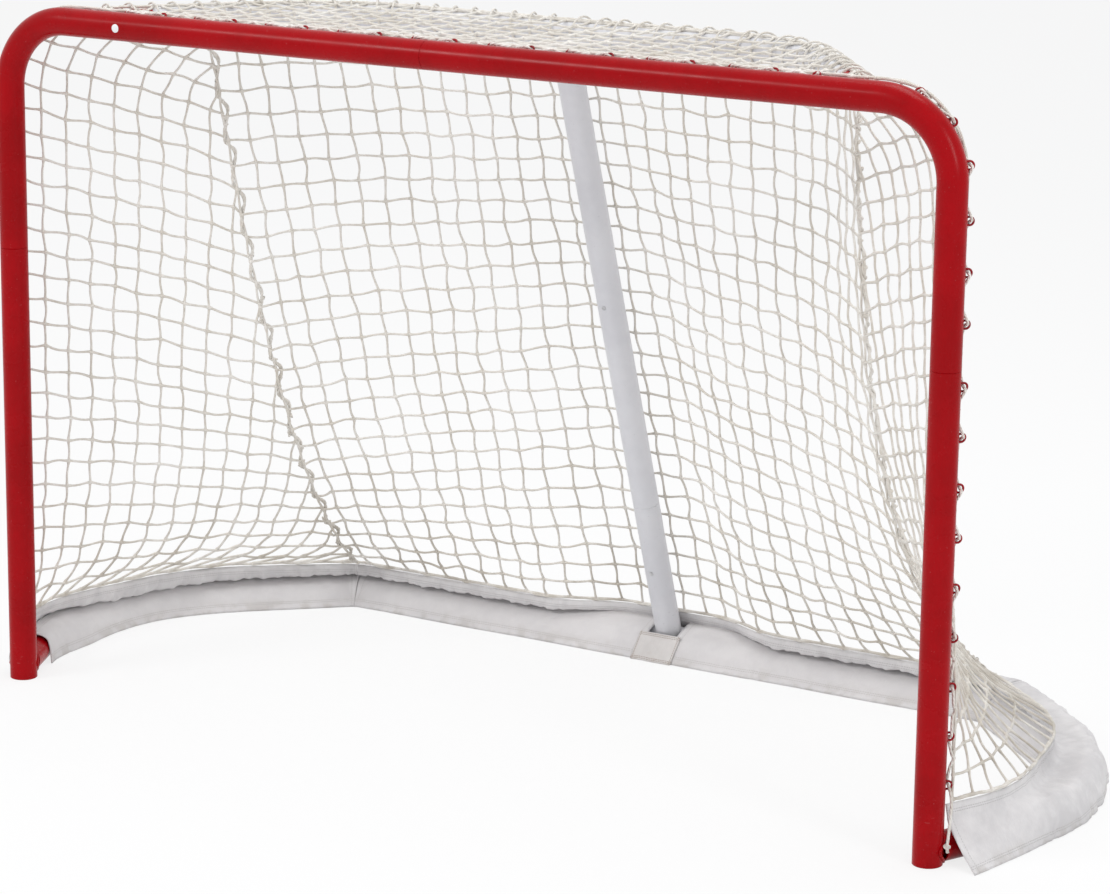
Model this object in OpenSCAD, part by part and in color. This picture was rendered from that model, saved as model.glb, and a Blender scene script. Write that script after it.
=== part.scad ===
// Full-size hockey goal: a 72 x 48 inch tubular frame with a shelf bow, a centre
// support, a curved base, laced netting and a canvas skirt round the base.
// X runs along the crossbar, Y from the mouth to the back, Z up from the ice.

/* [Mouth] */
// Clear width between the goal posts
mouth_w = 1828.8; // [1700:0.1:2000]
// Clear height from the ice to the underside of the crossbar
mouth_h = 1219.2; // [1150:0.1:1300]
// Outside diameter of the red frame tube
frame_od = 50.8; // [46:0.1:56]
// Wall of every steel tube
tube_wall = 2.4; // [2:0.1:3]
// Centreline radius of the bends between crossbar and posts
corner_r = 128; // [110:1:160]
// Distance of the crossbar joint from the middle
crossbar_joint_x = 38.1; // [30:0.1:44]
// Height of the joint in each post
post_joint_z = 822; // [810:1:830]
// Width of the bevel on every tube end that meets another
joint_bevel = 0.9; // [0.5:0.1:1.2]

/* [Tube joints] */
// Length of the reduced tube end that plugs into the next tube
spigot_len = 80; // [60:1:100]
// Radial clearance of a spigot in its bore
spigot_gap = 0.3; // [0.2:0.05:0.4]
// Distance of a joint screw from the end of the outer tube
screw_inset = 40; // [30:1:50]
// Shank diameter of the screws
screw_d = 4.6; // [4:0.1:5]
// Head diameter of the screws
screw_head_d = 9.6; // [8.5:0.1:11]
// Height of the screw heads
screw_head_h = 2.4; // [2:0.1:3]
// Radial clearance of a screw or rivet in its hole
screw_gap = 0.1; // [0.05:0.05:0.2]

/* [Net hooks] */
// Pitch of the wire hooks along the crossbar
crossbar_pitch = 76.2; // [74:0.1:78]
// Number of hooks on each side of the middle one
crossbar_hooks_each = 9; // [7:1:9]
// Pitch of the hooks down the posts
post_pitch = 82.6; // [80:0.1:85]
// Number of hooks on the lower part of each post
lower_hooks = 9; // [7:1:9]
// Wire diameter of the hooks
hook_wire = 3.8; // [3:0.1:4.2]
// Bend radius of the hook wire, to its centreline
hook_r = 6.6; // [6.4:0.1:7]
// Straight leg of each hook above the tube
hook_leg = 5; // [4:0.1:6]

/* [Shelf] */
// Outside diameter of the shelf tube
shelf_od = 42.2; // [38:0.1:44]
// Distance of the shelf roots from the middle of the crossbar
shelf_root_x = 782; // [770:1:800]
// Angle between the shelf ends and straight back
shelf_angle = 37.5; // [35:0.5:40]
// Length of the red stubs of the shelf
shelf_stub_len = 136; // [120:1:150]
// Depth from the crossbar axis to the axis of the shelf bow
shelf_y = 394; // [385:1:405]
// Centreline radius of the shelf bends
shelf_bend_r = 300; // [260:5:320]
// Half length of the shelf tee
tee_half = 60; // [50:1:70]

/* [Centre support] */
// Outside diameter of the support tube
support_od = 49.8; // [46:0.1:52]
// Distance of the support axis in front of the shelf axis
support_top_inset = 14; // [10:1:18]
// Distance of the support axis in front of the rear base axis
support_foot_inset = 10; // [6:1:12]
// Distance of the support joint from its foot
support_joint_d = 315; // [300:1:330]
// Length of the spigot inside the support
support_spigot = 175; // [150:1:200]
// Distances of the two rivets from the foot
rivet_ds = [169, 752];
// Length of the plugs that carry the ends of the support
support_plug = 62; // [50:1:80]

/* [Base] */
// Outside diameter of the base tube
base_od = 50.8; // [46:0.1:52]
// Angle at which the base leaves the posts, outward
base_lead_angle = 24; // [20:1:28]
// Length of the red base stubs from the post axis
base_stub_len = 120; // [100:1:140]
// Centreline radius of the side curves
base_side_r = 500; // [460:5:520]
// Angle of the base before its rear corners, inward
base_tail_angle = 46; // [42:1:50]
// Centreline radius of the rear corners
base_corner_r = 110; // [90:1:130]
// Depth from the post axis to the axis of the rear base tube
base_y = 822; // [810:1:840]
// Distance of the rear base joints from the middle
rear_joint_x = 560; // [500:5:600]

/* [Netting] */
// Thickness of the net twine
twine = 5; // [4:0.1:6]
// Gaps across the back net
back_cols = 9; // [9:2:15]
// Gaps down the back net and the side nets
net_rows = 8; // [7:1:12]
// Gaps across each side net
side_cols = 5; // [4:1:6]
// Gaps from front to back of the top net
top_rows = 3; // [3:1:4]
// Diameter of the lacing rope
lacing_d = 5; // [4:0.1:5.2]
// Wire-like thickness of the twine ties
tie_d = 3; // [2.5:0.1:3.5]
// Distance from one tie to the next along the base tube
base_tie_pitch = 130; // [110:5:160]
// Clearance between soft pieces and what they touch
soft_gap = 0.4; // [0.3:0.05:0.6]
// How far each seam hangs inward of its straight line
seam_sag_in = 45; // [35:1:55]
// How far each seam hangs forward of its straight line
seam_sag_front = 114; // [90:1:125]
// How far each seam hangs below its straight line
seam_sag_down = 60; // [30:1:70]

/* [Skirt] */
// Thickness of the doubled canvas with its hems
skirt_t = 3; // [2:0.1:4]
// Height of the skirt's top edge beside the posts
skirt_front_h = 100; // [90:1:110]
// Height of the skirt's top edge along the back
skirt_back_h = 80; // [74:1:86]
// Distance of the outer hem from the tube axis
skirt_flare = 46; // [42:1:52]
// Further distance of the outer hem at the post ends
skirt_front_flare = 50; // [40:1:55]
// How far the net pulls the top edge inward over the tube
skirt_lean = 55; // [45:1:60]
// Distance of the inner hem from the tube axis along the sides
flap_side = 60; // [54:1:66]
// Distance of the inner hem from the tube axis along the back
flap_back = 85; // [80:1:90]
// Depth of the soft folds along the skirt
fold = 2.2; // [1:0.1:3]

/* [Small parts] */
// Diameter of the round plug in the front of the crossbar
plug_d = 15; // [12:0.1:16]
// Distance of that plug from the middle
plug_x = 679; // [660:1:700]
// Height of the foot plugs inside the posts
foot_plug_h = 16; // [12:1:20]

/* [Hidden] */

$fn = 48;
eps = 0.01;
// Straight tube runs this far into a bend, which stands a hair proud of it
lap = 1;
bend_proud = 0.05;
// Facets of a full turn of a tube bend
bend_fn = 180;
// Gap left for the weld between a base stub and its post
weld_gap = 0.2;
red = [0.68, 0.03, 0.07];
white = [0.84, 0.83, 0.85];
steel = [0.62, 0.63, 0.65];
cream = [0.88, 0.85, 0.78];
canvas = [0.86, 0.85, 0.85];

// Frame
frame_r = frame_od / 2;
bore_r = frame_r - tube_wall;
post_x = mouth_w / 2 + frame_r;
bar_z = mouth_h + frame_r;
bend_x = post_x - corner_r;
bend_z = bar_z - corner_r;

// Base route, for the right side: [radius, length], or [radius, turn] for a bend
base_r = base_od / 2;
base_bore = base_r - tube_wall;
base_start = [post_x, 0];
arc_dy = base_side_r * (sin(base_lead_angle) + sin(base_tail_angle));
corner_tan = base_corner_r * tan((90 - base_tail_angle) / 2);
lead_dy = base_stub_len * cos(base_lead_angle);
tail_len = (base_y - lead_dy - arc_dy) / cos(base_tail_angle) - corner_tan;
base_bends = [
    [0, base_stub_len],
    [base_side_r, base_lead_angle + base_tail_angle],
    [0, tail_len],
    [base_corner_r, 90 - base_tail_angle]
];
corner_end = along(base_bends, base_start, base_lead_angle, run_len(base_bends));
base_run = concat(base_bends, [[0, corner_end[0].x]]);
side_end_s = run_len(base_bends) - seg_len(base_bends[3]) / 2;
middle_s = run_len(base_run);

// Shelf route, for the right side
shelf_r = shelf_od / 2;
shelf_bore = shelf_r - tube_wall;
shelf_turn = 90 - shelf_angle;
shelf_tan = shelf_bend_r * tan(shelf_turn / 2);
shelf_corner_x = shelf_root_x - shelf_y * tan(shelf_angle);
shelf_start = [shelf_root_x, 0];
shelf_run = [
    [0, shelf_y / cos(shelf_angle) - shelf_tan],
    [shelf_bend_r, shelf_turn],
    [0, shelf_corner_x - shelf_tan]
];
shelf_middle_s = run_len(shelf_run);
seam_s = 240;

// Centre support
support_r = support_od / 2;
support_bore = support_r - tube_wall;
foot = [0, base_y - support_foot_inset, base_r];
head = [0, shelf_y - support_top_inset, bar_z];
support_len = norm(head - foot);
support_tilt = atan((foot.y - head.y) / (head.z - foot.z));

// The origin is under the middle of the whole object
back_edge = base_y + skirt_flare + skirt_t / 2;
centre_y = (back_edge - frame_r) / 2;

// Netting: place of its front edge beside the frame tube, and its seams
edge_back = frame_r + 7.6;
edge_out = shelf_r + soft_gap + twine / 2;
edge_gap = twine / 2 + soft_gap;
hook_zs = [for (i = [0 : lower_hooks - 1]) post_joint_z - 28 - i * post_pitch];
upper_zs = [for (i = [1 : 3]) post_joint_z - 10 + i * post_pitch];
bend_angles = [22, 50, 78];

// The free end of the right lacing, from its last hook down beside the post
tail_route = [
    [966.8, -405.3, 127.8], [969.7, -408.2, 124.2], [972.1, -410.6, 119.6], [973.9, -412.4, 114.5],
    [975, -413.5, 108.9], [975.4, -413.9, 103.7], [975.5, -414.8, 97], [975.5, -415.7, 90],
    [975.5, -416.7, 83], [975.4, -417.7, 76], [975.3, -418.7, 69], [975.2, -419.7, 62],
    [975.1, -420.8, 55], [975, -421.9, 48], [974.9, -422.9, 42]
];
knot_at = [974.8, -424, 36];
knot_d = 12;

// Length of a segment or of a whole run
function seg_len(g) = g[0] == 0 ? g[1] : g[0] * g[1] * PI / 180;
function run_len(run, i = 0) = i == len(run) ? 0 : seg_len(run[i]) + run_len(run, i + 1);

// Place and heading after d along a segment; the heading is from +Y towards +X
function step(p, a, g, d) =
    g[0] == 0 ? [p + d * [sin(a), cos(a)], a]
    : let (b = a - d / g[0] * 180 / PI) [p + g[0] * [cos(b) - cos(a), sin(a) - sin(b)], b];

// Place and heading after s along a run
function along(run, p, a, s, i = 0) =
    i == len(run) - 1 || s <= seg_len(run[i]) ? step(p, a, run[i], s)
    : let (e = step(p, a, run[i], seg_len(run[i])))
        along(run, e[0], e[1], s - seg_len(run[i]), i + 1);

// Point beside the base route: n outward from the tube axis, z above the ice
function base_at(s, n, z) =
    let (w = along(base_run, base_start, base_lead_angle, s))
    [w[0].x + n * cos(w[1]), w[0].y - n * sin(w[1]), z];

// Point beside the shelf route
function shelf_at(s, n, z) =
    let (w = along(shelf_run, shelf_start, -shelf_angle, s))
    [w[0].x + n * cos(w[1]), w[0].y - n * sin(w[1]), z];

function mix(a, b, t) = a + (b - a) * t;
function unit(v) = v / norm(v);

// ---- Tubes -------------------------------------------------------------------

// Solid rod of radius r along part of a run, at height z
module rod_run(run, p, a, z, r, i = 0) {
    if (i < len(run)) {
        g = run[i];
        e = step(p, a, g, seg_len(g));
        if (g[0] == 0)
            translate([p.x, p.y, z]) rotate([-90, 0, -a]) translate([0, 0, i == 0 ? 0 : -lap])
                cylinder(r = r, h = g[1] + (i == 0 ? 0 : lap) + (i == len(run) - 1 ? 0 : lap));
        else
            translate([p.x - g[0] * cos(a), p.y + g[0] * sin(a), z])
                rotate([0, 0, -a])
                    rotate_extrude(angle = g[1], $fn = bend_fn) translate([g[0], 0])
                        circle(r = r + bend_proud, $fn = 48);
        rod_run(run, e[0], e[1], z, r, i + 1);
    }
}

// Short bore that opens a tube end, looking along heading a
module end_bore(p, a, z, r) {
    translate([p.x, p.y, z]) rotate([-90, 0, -a]) translate([0, 0, -1])
        cylinder(r = r + 2 * bend_proud, h = 2);
}

// Ring that bevels a tube end; the tube lies on the +Z side
module bevel(r) {
    difference() {
        translate([0, 0, -1]) cylinder(r = r + 3, h = 1 + joint_bevel);
        translate([0, 0, -1]) cylinder(r = r - joint_bevel, h = 1 + eps);
        cylinder(r1 = r - joint_bevel, r2 = r, h = joint_bevel + eps);
    }
}

// Reduced tube end: shoulder below z = 0, spigot above it
module spigot(bore, length) {
    difference() {
        union() {
            translate([0, 0, -10]) cylinder(r = bore + tube_wall / 3, h = 10);
            translate([0, 0, -eps]) cylinder(r = bore - spigot_gap, h = length);
        }
        translate([0, 0, -11]) cylinder(r = bore - spigot_gap - tube_wall, h = length + 20);
    }
}

// Radial screw hole or shank: tube along X, screw along Z
module screw_hole(tube_r) {
    translate([0, 0, tube_r - 9]) cylinder(d = screw_d + 2 * screw_gap, h = 14);
}

// Pan-head screw on a tube that lies along X
module screw(tube_r) {
    translate([0, 0, tube_r - 8]) cylinder(d = screw_d, h = 8);
    difference() {
        translate([0, 0, tube_r - 1]) cylinder(d = screw_head_d, h = screw_head_h);
        rotate([0, 90, 0]) cylinder(r = tube_r, h = 3 * screw_head_d, center = true);
        translate([0, 0, tube_r + screw_head_h - 1.8]) cylinder(d = 3, h = 3, $fn = 6);
    }
}

// ---- Frame -------------------------------------------------------------------

// Bent rod of the right corner, from x0 on the crossbar down to the post joint
module corner_rod(x0, r, over) {
    translate([x0 - over, 0, bar_z]) rotate([0, 90, 0]) cylinder(r = r, h = bend_x - x0 + over);
    translate([bend_x, 0, bend_z]) rotate([90, 0, 0])
        rotate_extrude(angle = 90, $fn = bend_fn) translate([corner_r, 0]) circle(r = r, $fn = 48);
    translate([post_x, 0, post_joint_z - over]) cylinder(r = r, h = bend_z - post_joint_z + over);
}

module corner_tube(x0) {
    difference() {
        corner_rod(x0, frame_r, 0);
        corner_rod(x0, bore_r, 1);
        translate([x0, 0, bar_z]) rotate([0, 90, 0]) bevel(frame_r);
        translate([post_x, 0, post_joint_z]) bevel(frame_r);
        translate([post_x, 0, post_joint_z + screw_inset]) back_of_post() screw_hole(frame_r);
    }
}

// Turns a radial feature towards the back of a post or of the crossbar
module back_of_post() {
    rotate([-90, 0, 0]) rotate([0, 0, 90]) children();
}

module back_of_bar() {
    rotate([-90, 0, 0]) children();
}

module crossbar_screw_at() {
    translate([screw_inset - crossbar_joint_x, 0, bar_z]) back_of_bar() children();
}

module left_corner_tube() {
    color(red) difference() {
        union() {
            mirror([1, 0, 0]) corner_tube(crossbar_joint_x);
            translate([-crossbar_joint_x, 0, bar_z]) rotate([0, 90, 0]) spigot(bore_r, spigot_len);
        }
        crossbar_screw_at() screw_hole(frame_r);
        plug_at() translate([0, 0, -8]) cylinder(d = plug_d - 5, h = 20);
    }
}

module right_corner_tube() {
    color(red) difference() {
        corner_tube(-crossbar_joint_x);
        crossbar_screw_at() screw_hole(frame_r);
    }
}

module lower_post() {
    difference() {
        union() {
            difference() {
                translate([post_x, 0, 0]) cylinder(r = frame_r, h = post_joint_z);
                translate([post_x, 0, -1]) cylinder(r = bore_r, h = post_joint_z + 2);
                translate([post_x, 0, 0]) bevel(frame_r);
                translate([post_x, 0, post_joint_z]) mirror([0, 0, 1]) bevel(frame_r);
            }
            translate([post_x, 0, post_joint_z]) spigot(bore_r, spigot_len);
        }
        translate([post_x, 0, post_joint_z + screw_inset]) back_of_post() screw_hole(frame_r);
    }
}

module left_lower_post() {
    color(red) mirror([1, 0, 0]) lower_post();
}

module right_lower_post() {
    color(red) lower_post();
}

// Insert that closes the foot of a post
module foot_plug() {
    translate([post_x, 0, 0]) difference() {
        cylinder(r = bore_r - 0.1, h = foot_plug_h);
        translate([0, 0, 3.5]) cylinder(r = bore_r - 3, h = foot_plug_h);
    }
}

module left_foot_plug() {
    color([0.12, 0.12, 0.13]) mirror([1, 0, 0]) foot_plug();
}

module right_foot_plug() {
    color([0.12, 0.12, 0.13]) foot_plug();
}

module frame_screws() {
    color(steel) {
        crossbar_screw_at() screw(frame_r);
        for (side = [-1, 1])
            translate([side * post_x, 0, post_joint_z + screw_inset]) back_of_post() screw(frame_r);
    }
}

// Place of the round plug: Z points out of the front of the crossbar
module plug_at() {
    translate([-plug_x, 0, bar_z]) rotate([90, 0, 0]) translate([0, 0, frame_r]) children();
}

module crossbar_plug() {
    color([0.93, 0.94, 0.95]) {
        plug_at() translate([0, 0, -tube_wall - 3]) cylinder(d = plug_d - 5.4, h = tube_wall + 3);
        difference() {
            plug_at() intersection() {
                translate([0, 0, -20]) cylinder(d = plug_d, h = 40);
                translate([0, 0, 2 - plug_d]) sphere(r = plug_d);
            }
            translate([-plug_x, 0, bar_z]) rotate([0, 90, 0])
                cylinder(r = frame_r, h = 4 * plug_d, center = true);
        }
    }
}

// ---- Net hooks ---------------------------------------------------------------

// One bent-wire hook, welded on a tube that lies along X, standing along Z
module hook() {
    translate([0, 0, frame_r + hook_leg]) rotate([90, 0, 0])
        rotate_extrude(angle = 180) translate([hook_r, 0]) circle(d = hook_wire);
    difference() {
        for (x = [-hook_r, hook_r])
            translate([x, 0, frame_r - 1]) cylinder(d = hook_wire, h = hook_leg + 1);
        rotate([0, 90, 0]) cylinder(r = frame_r, h = 4 * hook_r, center = true);
    }
}

// Hooks stand halfway between outward and straight back; turn is 0 on the
// crossbar and 90 on a post
module hook_on(x, z, turn) {
    translate([x, 0, z]) rotate([0, turn, 0]) rotate([-45, 0, 0]) hook();
}

// Place on the frame axis at a bend angle
function bend_at(t) = [bend_x + corner_r * sin(t), 0, bend_z + corner_r * cos(t)];

module corner_hooks(first) {
    for (i = [first : crossbar_hooks_each])
        hook_on(i * crossbar_pitch, bar_z, 0);
    for (t = bend_angles)
        hook_on(bend_at(t).x, bend_at(t).z, t);
    for (z = upper_zs)
        hook_on(post_x, z, 90);
}

module left_corner_hooks() {
    color(red) mirror([1, 0, 0]) corner_hooks(1);
}

module right_corner_hooks() {
    color(red) corner_hooks(0);
}

module post_hooks() {
    for (z = hook_zs)
        hook_on(post_x, z, 90);
}

module left_post_hooks() {
    color(red) mirror([1, 0, 0]) post_hooks();
}

module right_post_hooks() {
    color(red) post_hooks();
}

// ---- Shelf -------------------------------------------------------------------

shelf_stub_end = shelf_at(shelf_stub_len, 0, bar_z);

// Turns a radial feature to the underside of the shelf at distance s
module under_shelf(s) {
    w = along(shelf_run, shelf_start, -shelf_angle, s);
    translate([w[0].x, w[0].y, bar_z]) rotate([0, 0, -w[1]])
        rotate([180, 0, 0]) rotate([0, 0, 90]) children();
}

module shelf_stub() {
    difference() {
        rod_run([[0, shelf_stub_len]], shelf_start, -shelf_angle, bar_z, shelf_r);
        rod_run([[0, shelf_stub_len + 1]], shelf_start, -shelf_angle, bar_z, shelf_bore);
        translate([shelf_root_x, 0, bar_z]) rotate([0, 90, 0])
            cylinder(r = frame_r, h = 6 * frame_r, center = true);
        translate(shelf_stub_end) rotate([90, 0, shelf_angle]) bevel(shelf_r);
        under_shelf(shelf_stub_len - screw_inset) screw_hole(shelf_r);
    }
}

module left_shelf_stub() {
    color(red) mirror([1, 0, 0]) shelf_stub();
}

module right_shelf_stub() {
    color(red) shelf_stub();
}

// The white bow from a stub to the tee
shelf_half = [
    [0, shelf_run[0][1] - shelf_stub_len], shelf_run[1], [0, shelf_run[2][1] - tee_half]
];

module shelf_tube() {
    p = [shelf_stub_end.x, shelf_stub_end.y];
    difference() {
        union() {
            difference() {
                rod_run(shelf_half, p, -shelf_angle, bar_z, shelf_r);
                rod_run(shelf_half, p, -shelf_angle, bar_z, shelf_bore);
                end_bore(p, -shelf_angle, bar_z, shelf_bore);
                end_bore([tee_half, shelf_y], -90, bar_z, shelf_bore);
                translate(shelf_stub_end) rotate([-90, 0, shelf_angle]) bevel(shelf_r);
                translate([tee_half, shelf_y, bar_z]) rotate([0, 90, 0]) bevel(shelf_r);
            }
            translate(shelf_stub_end) rotate([90, 0, shelf_angle]) spigot(shelf_bore, spigot_len);
        }
        under_shelf(shelf_stub_len - screw_inset) screw_hole(shelf_r);
        under_shelf(shelf_middle_s - tee_half - screw_inset) screw_hole(shelf_r);
    }
}

module left_shelf_tube() {
    color(white) mirror([1, 0, 0]) shelf_tube();
}

module right_shelf_tube() {
    color(white) shelf_tube();
}

// Centre piece of the shelf, with the plug that carries the support
module shelf_tee() {
    color(white) {
        difference() {
            union() {
                translate([0, shelf_y, bar_z]) rotate([0, 90, 0])
                    cylinder(r = shelf_r, h = 2 * tee_half, center = true);
                for (side = [0, 1])
                    mirror([side, 0, 0]) translate([tee_half, shelf_y, bar_z])
                        rotate([0, 90, 0]) cylinder(r = shelf_bore - spigot_gap, h = spigot_len);
            }
            translate([0, shelf_y, bar_z]) rotate([0, 90, 0])
                cylinder(r = shelf_bore - spigot_gap - tube_wall, h = 4 * spigot_len, center = true);
            for (side = [0, 1]) mirror([side, 0, 0]) {
                translate([tee_half, shelf_y, bar_z]) rotate([0, -90, 0]) bevel(shelf_r);
                under_shelf(shelf_middle_s - tee_half - screw_inset) screw_hole(shelf_r);
            }
        }
        difference() {
            on_support(support_len - support_plug)
                cylinder(r = support_bore - spigot_gap, h = support_plug);
            on_support(support_len - support_plug - 1)
                cylinder(r = support_bore - spigot_gap - tube_wall, h = support_plug + 2);
            translate([0, shelf_y, bar_z]) rotate([0, 90, 0])
                cylinder(r = shelf_r - 1, h = 4 * support_r, center = true);
        }
    }
}

module shelf_screws() {
    color(steel) for (side = [0, 1]) mirror([side, 0, 0]) {
        under_shelf(shelf_stub_len - screw_inset) screw(shelf_r);
        under_shelf(shelf_middle_s - tee_half - screw_inset) screw(shelf_r);
    }
}

// ---- Centre support ----------------------------------------------------------

// Z runs up the support axis; d is the distance from the rear base tube
module on_support(d) {
    translate(foot) rotate([support_tilt, 0, 0]) translate([0, 0, d]) children();
}

// Front of the support at distance d
module support_front(d) {
    on_support(d) rotate([90, 0, 0]) rotate([0, 0, 90]) children();
}

module upper_support() {
    color(white) difference() {
        union() {
            on_support(support_joint_d) difference() {
                cylinder(r = support_r, h = support_len - support_joint_d - 8);
                translate([0, 0, -1]) cylinder(r = support_bore, h = support_len);
                bevel(support_r);
            }
            on_support(support_joint_d) mirror([0, 0, 1]) spigot(support_bore, support_spigot);
        }
        translate([0, shelf_y, bar_z]) rotate([0, 90, 0])
            cylinder(r = shelf_r, h = 4 * support_r, center = true);
        for (d = rivet_ds) support_front(d) screw_hole(support_r);
    }
}

module lower_support() {
    color(white) difference() {
        on_support(0) difference() {
            cylinder(r = support_r, h = support_joint_d);
            translate([0, 0, -1]) cylinder(r = support_bore, h = support_joint_d + 2);
            translate([0, 0, support_joint_d]) mirror([0, 0, 1]) bevel(support_r);
        }
        translate([0, base_y, base_r]) rotate([0, 90, 0])
            cylinder(r = base_r, h = 4 * support_r, center = true);
        on_support(-10) cylinder(r = 2 * support_r, h = 14);
        support_front(rivet_ds[0]) screw_hole(support_r);
    }
}

module support_rivets() {
    color(steel) for (d = rivet_ds) support_front(d) {
        translate([0, 0, support_r - 8]) cylinder(d = screw_d, h = 8);
        difference() {
            translate([0, 0, support_r - 1]) cylinder(d = screw_head_d - 1.6, h = 2.2);
            rotate([0, 90, 0]) cylinder(r = support_r, h = 30, center = true);
        }
    }
}

// Plug welded on the rear base tube; the support stands over it
module support_socket() {
    color(white) difference() {
        on_support(12) cylinder(r = support_bore - spigot_gap, h = support_plug + 12);
        on_support(10) cylinder(r = support_bore - spigot_gap - tube_wall, h = support_plug + 20);
        translate([0, base_y, base_r]) rotate([0, 90, 0])
            cylinder(r = base_r, h = 4 * support_r, center = true);
    }
}

// ---- Base --------------------------------------------------------------------

base_stub_end = base_at(base_stub_len, 0, base_r);
side_run = [base_run[1], base_run[2], base_run[3], [0, corner_end[0].x - rear_joint_x]];

// Turns a radial feature to the top of the base at distance s
module over_base(s) {
    w = along(base_run, base_start, base_lead_angle, s);
    translate([w[0].x, w[0].y, base_r]) rotate([0, 0, -w[1]]) rotate([0, 0, 90]) children();
}

module base_stub() {
    difference() {
        rod_run([[0, base_stub_len]], base_start, base_lead_angle, base_r, base_r);
        rod_run([[0, base_stub_len + 1]], base_start, base_lead_angle, base_r, base_bore);
        translate([post_x, 0, -1]) cylinder(r = frame_r + weld_gap, h = 3 * base_r);
        translate(base_stub_end) rotate([90, 0, -base_lead_angle]) bevel(base_r);
        over_base(base_stub_len - screw_inset) screw_hole(base_r);
    }
}

module left_base_stub() {
    color(red) mirror([1, 0, 0]) base_stub();
}

module right_base_stub() {
    color(red) base_stub();
}

module base_tube() {
    p = [base_stub_end.x, base_stub_end.y];
    difference() {
        union() {
            difference() {
                rod_run(side_run, p, base_lead_angle, base_r, base_r);
                rod_run(side_run, p, base_lead_angle, base_r, base_bore);
                end_bore(p, base_lead_angle, base_r, base_bore);
                end_bore([rear_joint_x, base_y], -90, base_r, base_bore);
                translate(base_stub_end) rotate([-90, 0, -base_lead_angle]) bevel(base_r);
                translate([rear_joint_x, base_y, base_r]) rotate([0, 90, 0]) bevel(base_r);
            }
            translate(base_stub_end) rotate([90, 0, -base_lead_angle])
                spigot(base_bore, spigot_len - 20);
            translate([rear_joint_x, base_y, base_r]) rotate([0, -90, 0])
                spigot(base_bore, spigot_len);
        }
        over_base(base_stub_len - screw_inset) screw_hole(base_r);
        over_base(middle_s - rear_joint_x + screw_inset) screw_hole(base_r);
    }
}

module left_base_tube() {
    color(white) mirror([1, 0, 0]) base_tube();
}

module right_base_tube() {
    color(white) base_tube();
}

module rear_base_tube() {
    color(white) difference() {
        translate([0, base_y, base_r]) rotate([0, 90, 0])
            cylinder(r = base_r, h = 2 * rear_joint_x, center = true);
        translate([0, base_y, base_r]) rotate([0, 90, 0])
            cylinder(r = base_bore, h = 2 * rear_joint_x + 2, center = true);
        for (side = [0, 1]) mirror([side, 0, 0]) {
            translate([rear_joint_x, base_y, base_r]) rotate([0, -90, 0]) bevel(base_r);
            over_base(middle_s - rear_joint_x + screw_inset) screw_hole(base_r);
        }
    }
}

module base_screws() {
    color(steel) for (side = [0, 1]) mirror([side, 0, 0]) {
        over_base(base_stub_len - screw_inset) screw(base_r);
        over_base(middle_s - rear_joint_x + screw_inset) screw(base_r);
    }
}

// ---- Soft surfaces -----------------------------------------------------------

// Two triangles for each four-cornered face
function halves(quads) = [for (q = quads, h = [[0, 1, 2], [0, 2, 3]]) [for (k = h) q[k]]];

// Directions along a grid of points, from each point's neighbours
function dir_i(g, i, j) = unit(g[min(i + 1, len(g) - 1)][j] - g[max(i - 1, 0)][j]);
function dir_j(g, i, j) = unit(g[i][min(j + 1, len(g[0]) - 1)] - g[i][max(j - 1, 0)]);

// Lattice of square twine along the lines of a grid of points
module lattice(g, w) {
    ni = len(g);
    nj = len(g[0]);
    h = w / 2;
    pts = [for (i = [0 : ni - 1], j = [0 : nj - 1])
        let (a = dir_i(g, i, j), b = dir_j(g, i, j), n = unit(cross(a, b)))
        for (c = [-1, 1], y = [-1, 1], x = [-1, 1]) g[i][j] + h * (x * a + y * b + c * n)];
    function at(i, j, k) = 8 * (i * nj + j) + k;
    crossings = [for (i = [0 : ni - 1], j = [0 : nj - 1], f = [[4, 6, 7, 5], [0, 1, 3, 2]])
        [for (k = f) at(i, j, k)]];
    along_i = [for (i = [0 : ni - 2], j = [0 : nj - 1])
        for (f = [[5, 7, 6, 4], [1, 0, 2, 3], [1, 5, 4, 0], [3, 2, 6, 7]])
            [for (m = [0 : 3]) at(f[m] % 2 == 1 ? i : i + 1, j, f[m])]];
    along_j = [for (i = [0 : ni - 1], j = [0 : nj - 2])
        for (f = [[6, 4, 5, 7], [2, 3, 1, 0], [2, 0, 4, 6], [3, 7, 5, 1]])
            [for (m = [0 : 3]) at(i, f[m] % 4 > 1 ? j : j + 1, f[m])]];
    ends_i = [for (j = [0 : nj - 1], e = [[0, [0, 2, 6, 4]], [ni - 1, [1, 5, 7, 3]]])
        [for (k = e[1]) at(e[0], j, k)]];
    ends_j = [for (i = [0 : ni - 1], e = [[0, [0, 4, 5, 1]], [nj - 1, [2, 3, 7, 6]]])
        [for (k = e[1]) at(i, e[0], k)]];
    polyhedron(pts, halves(concat(crossings, along_i, along_j, ends_i, ends_j)));
}

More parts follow.
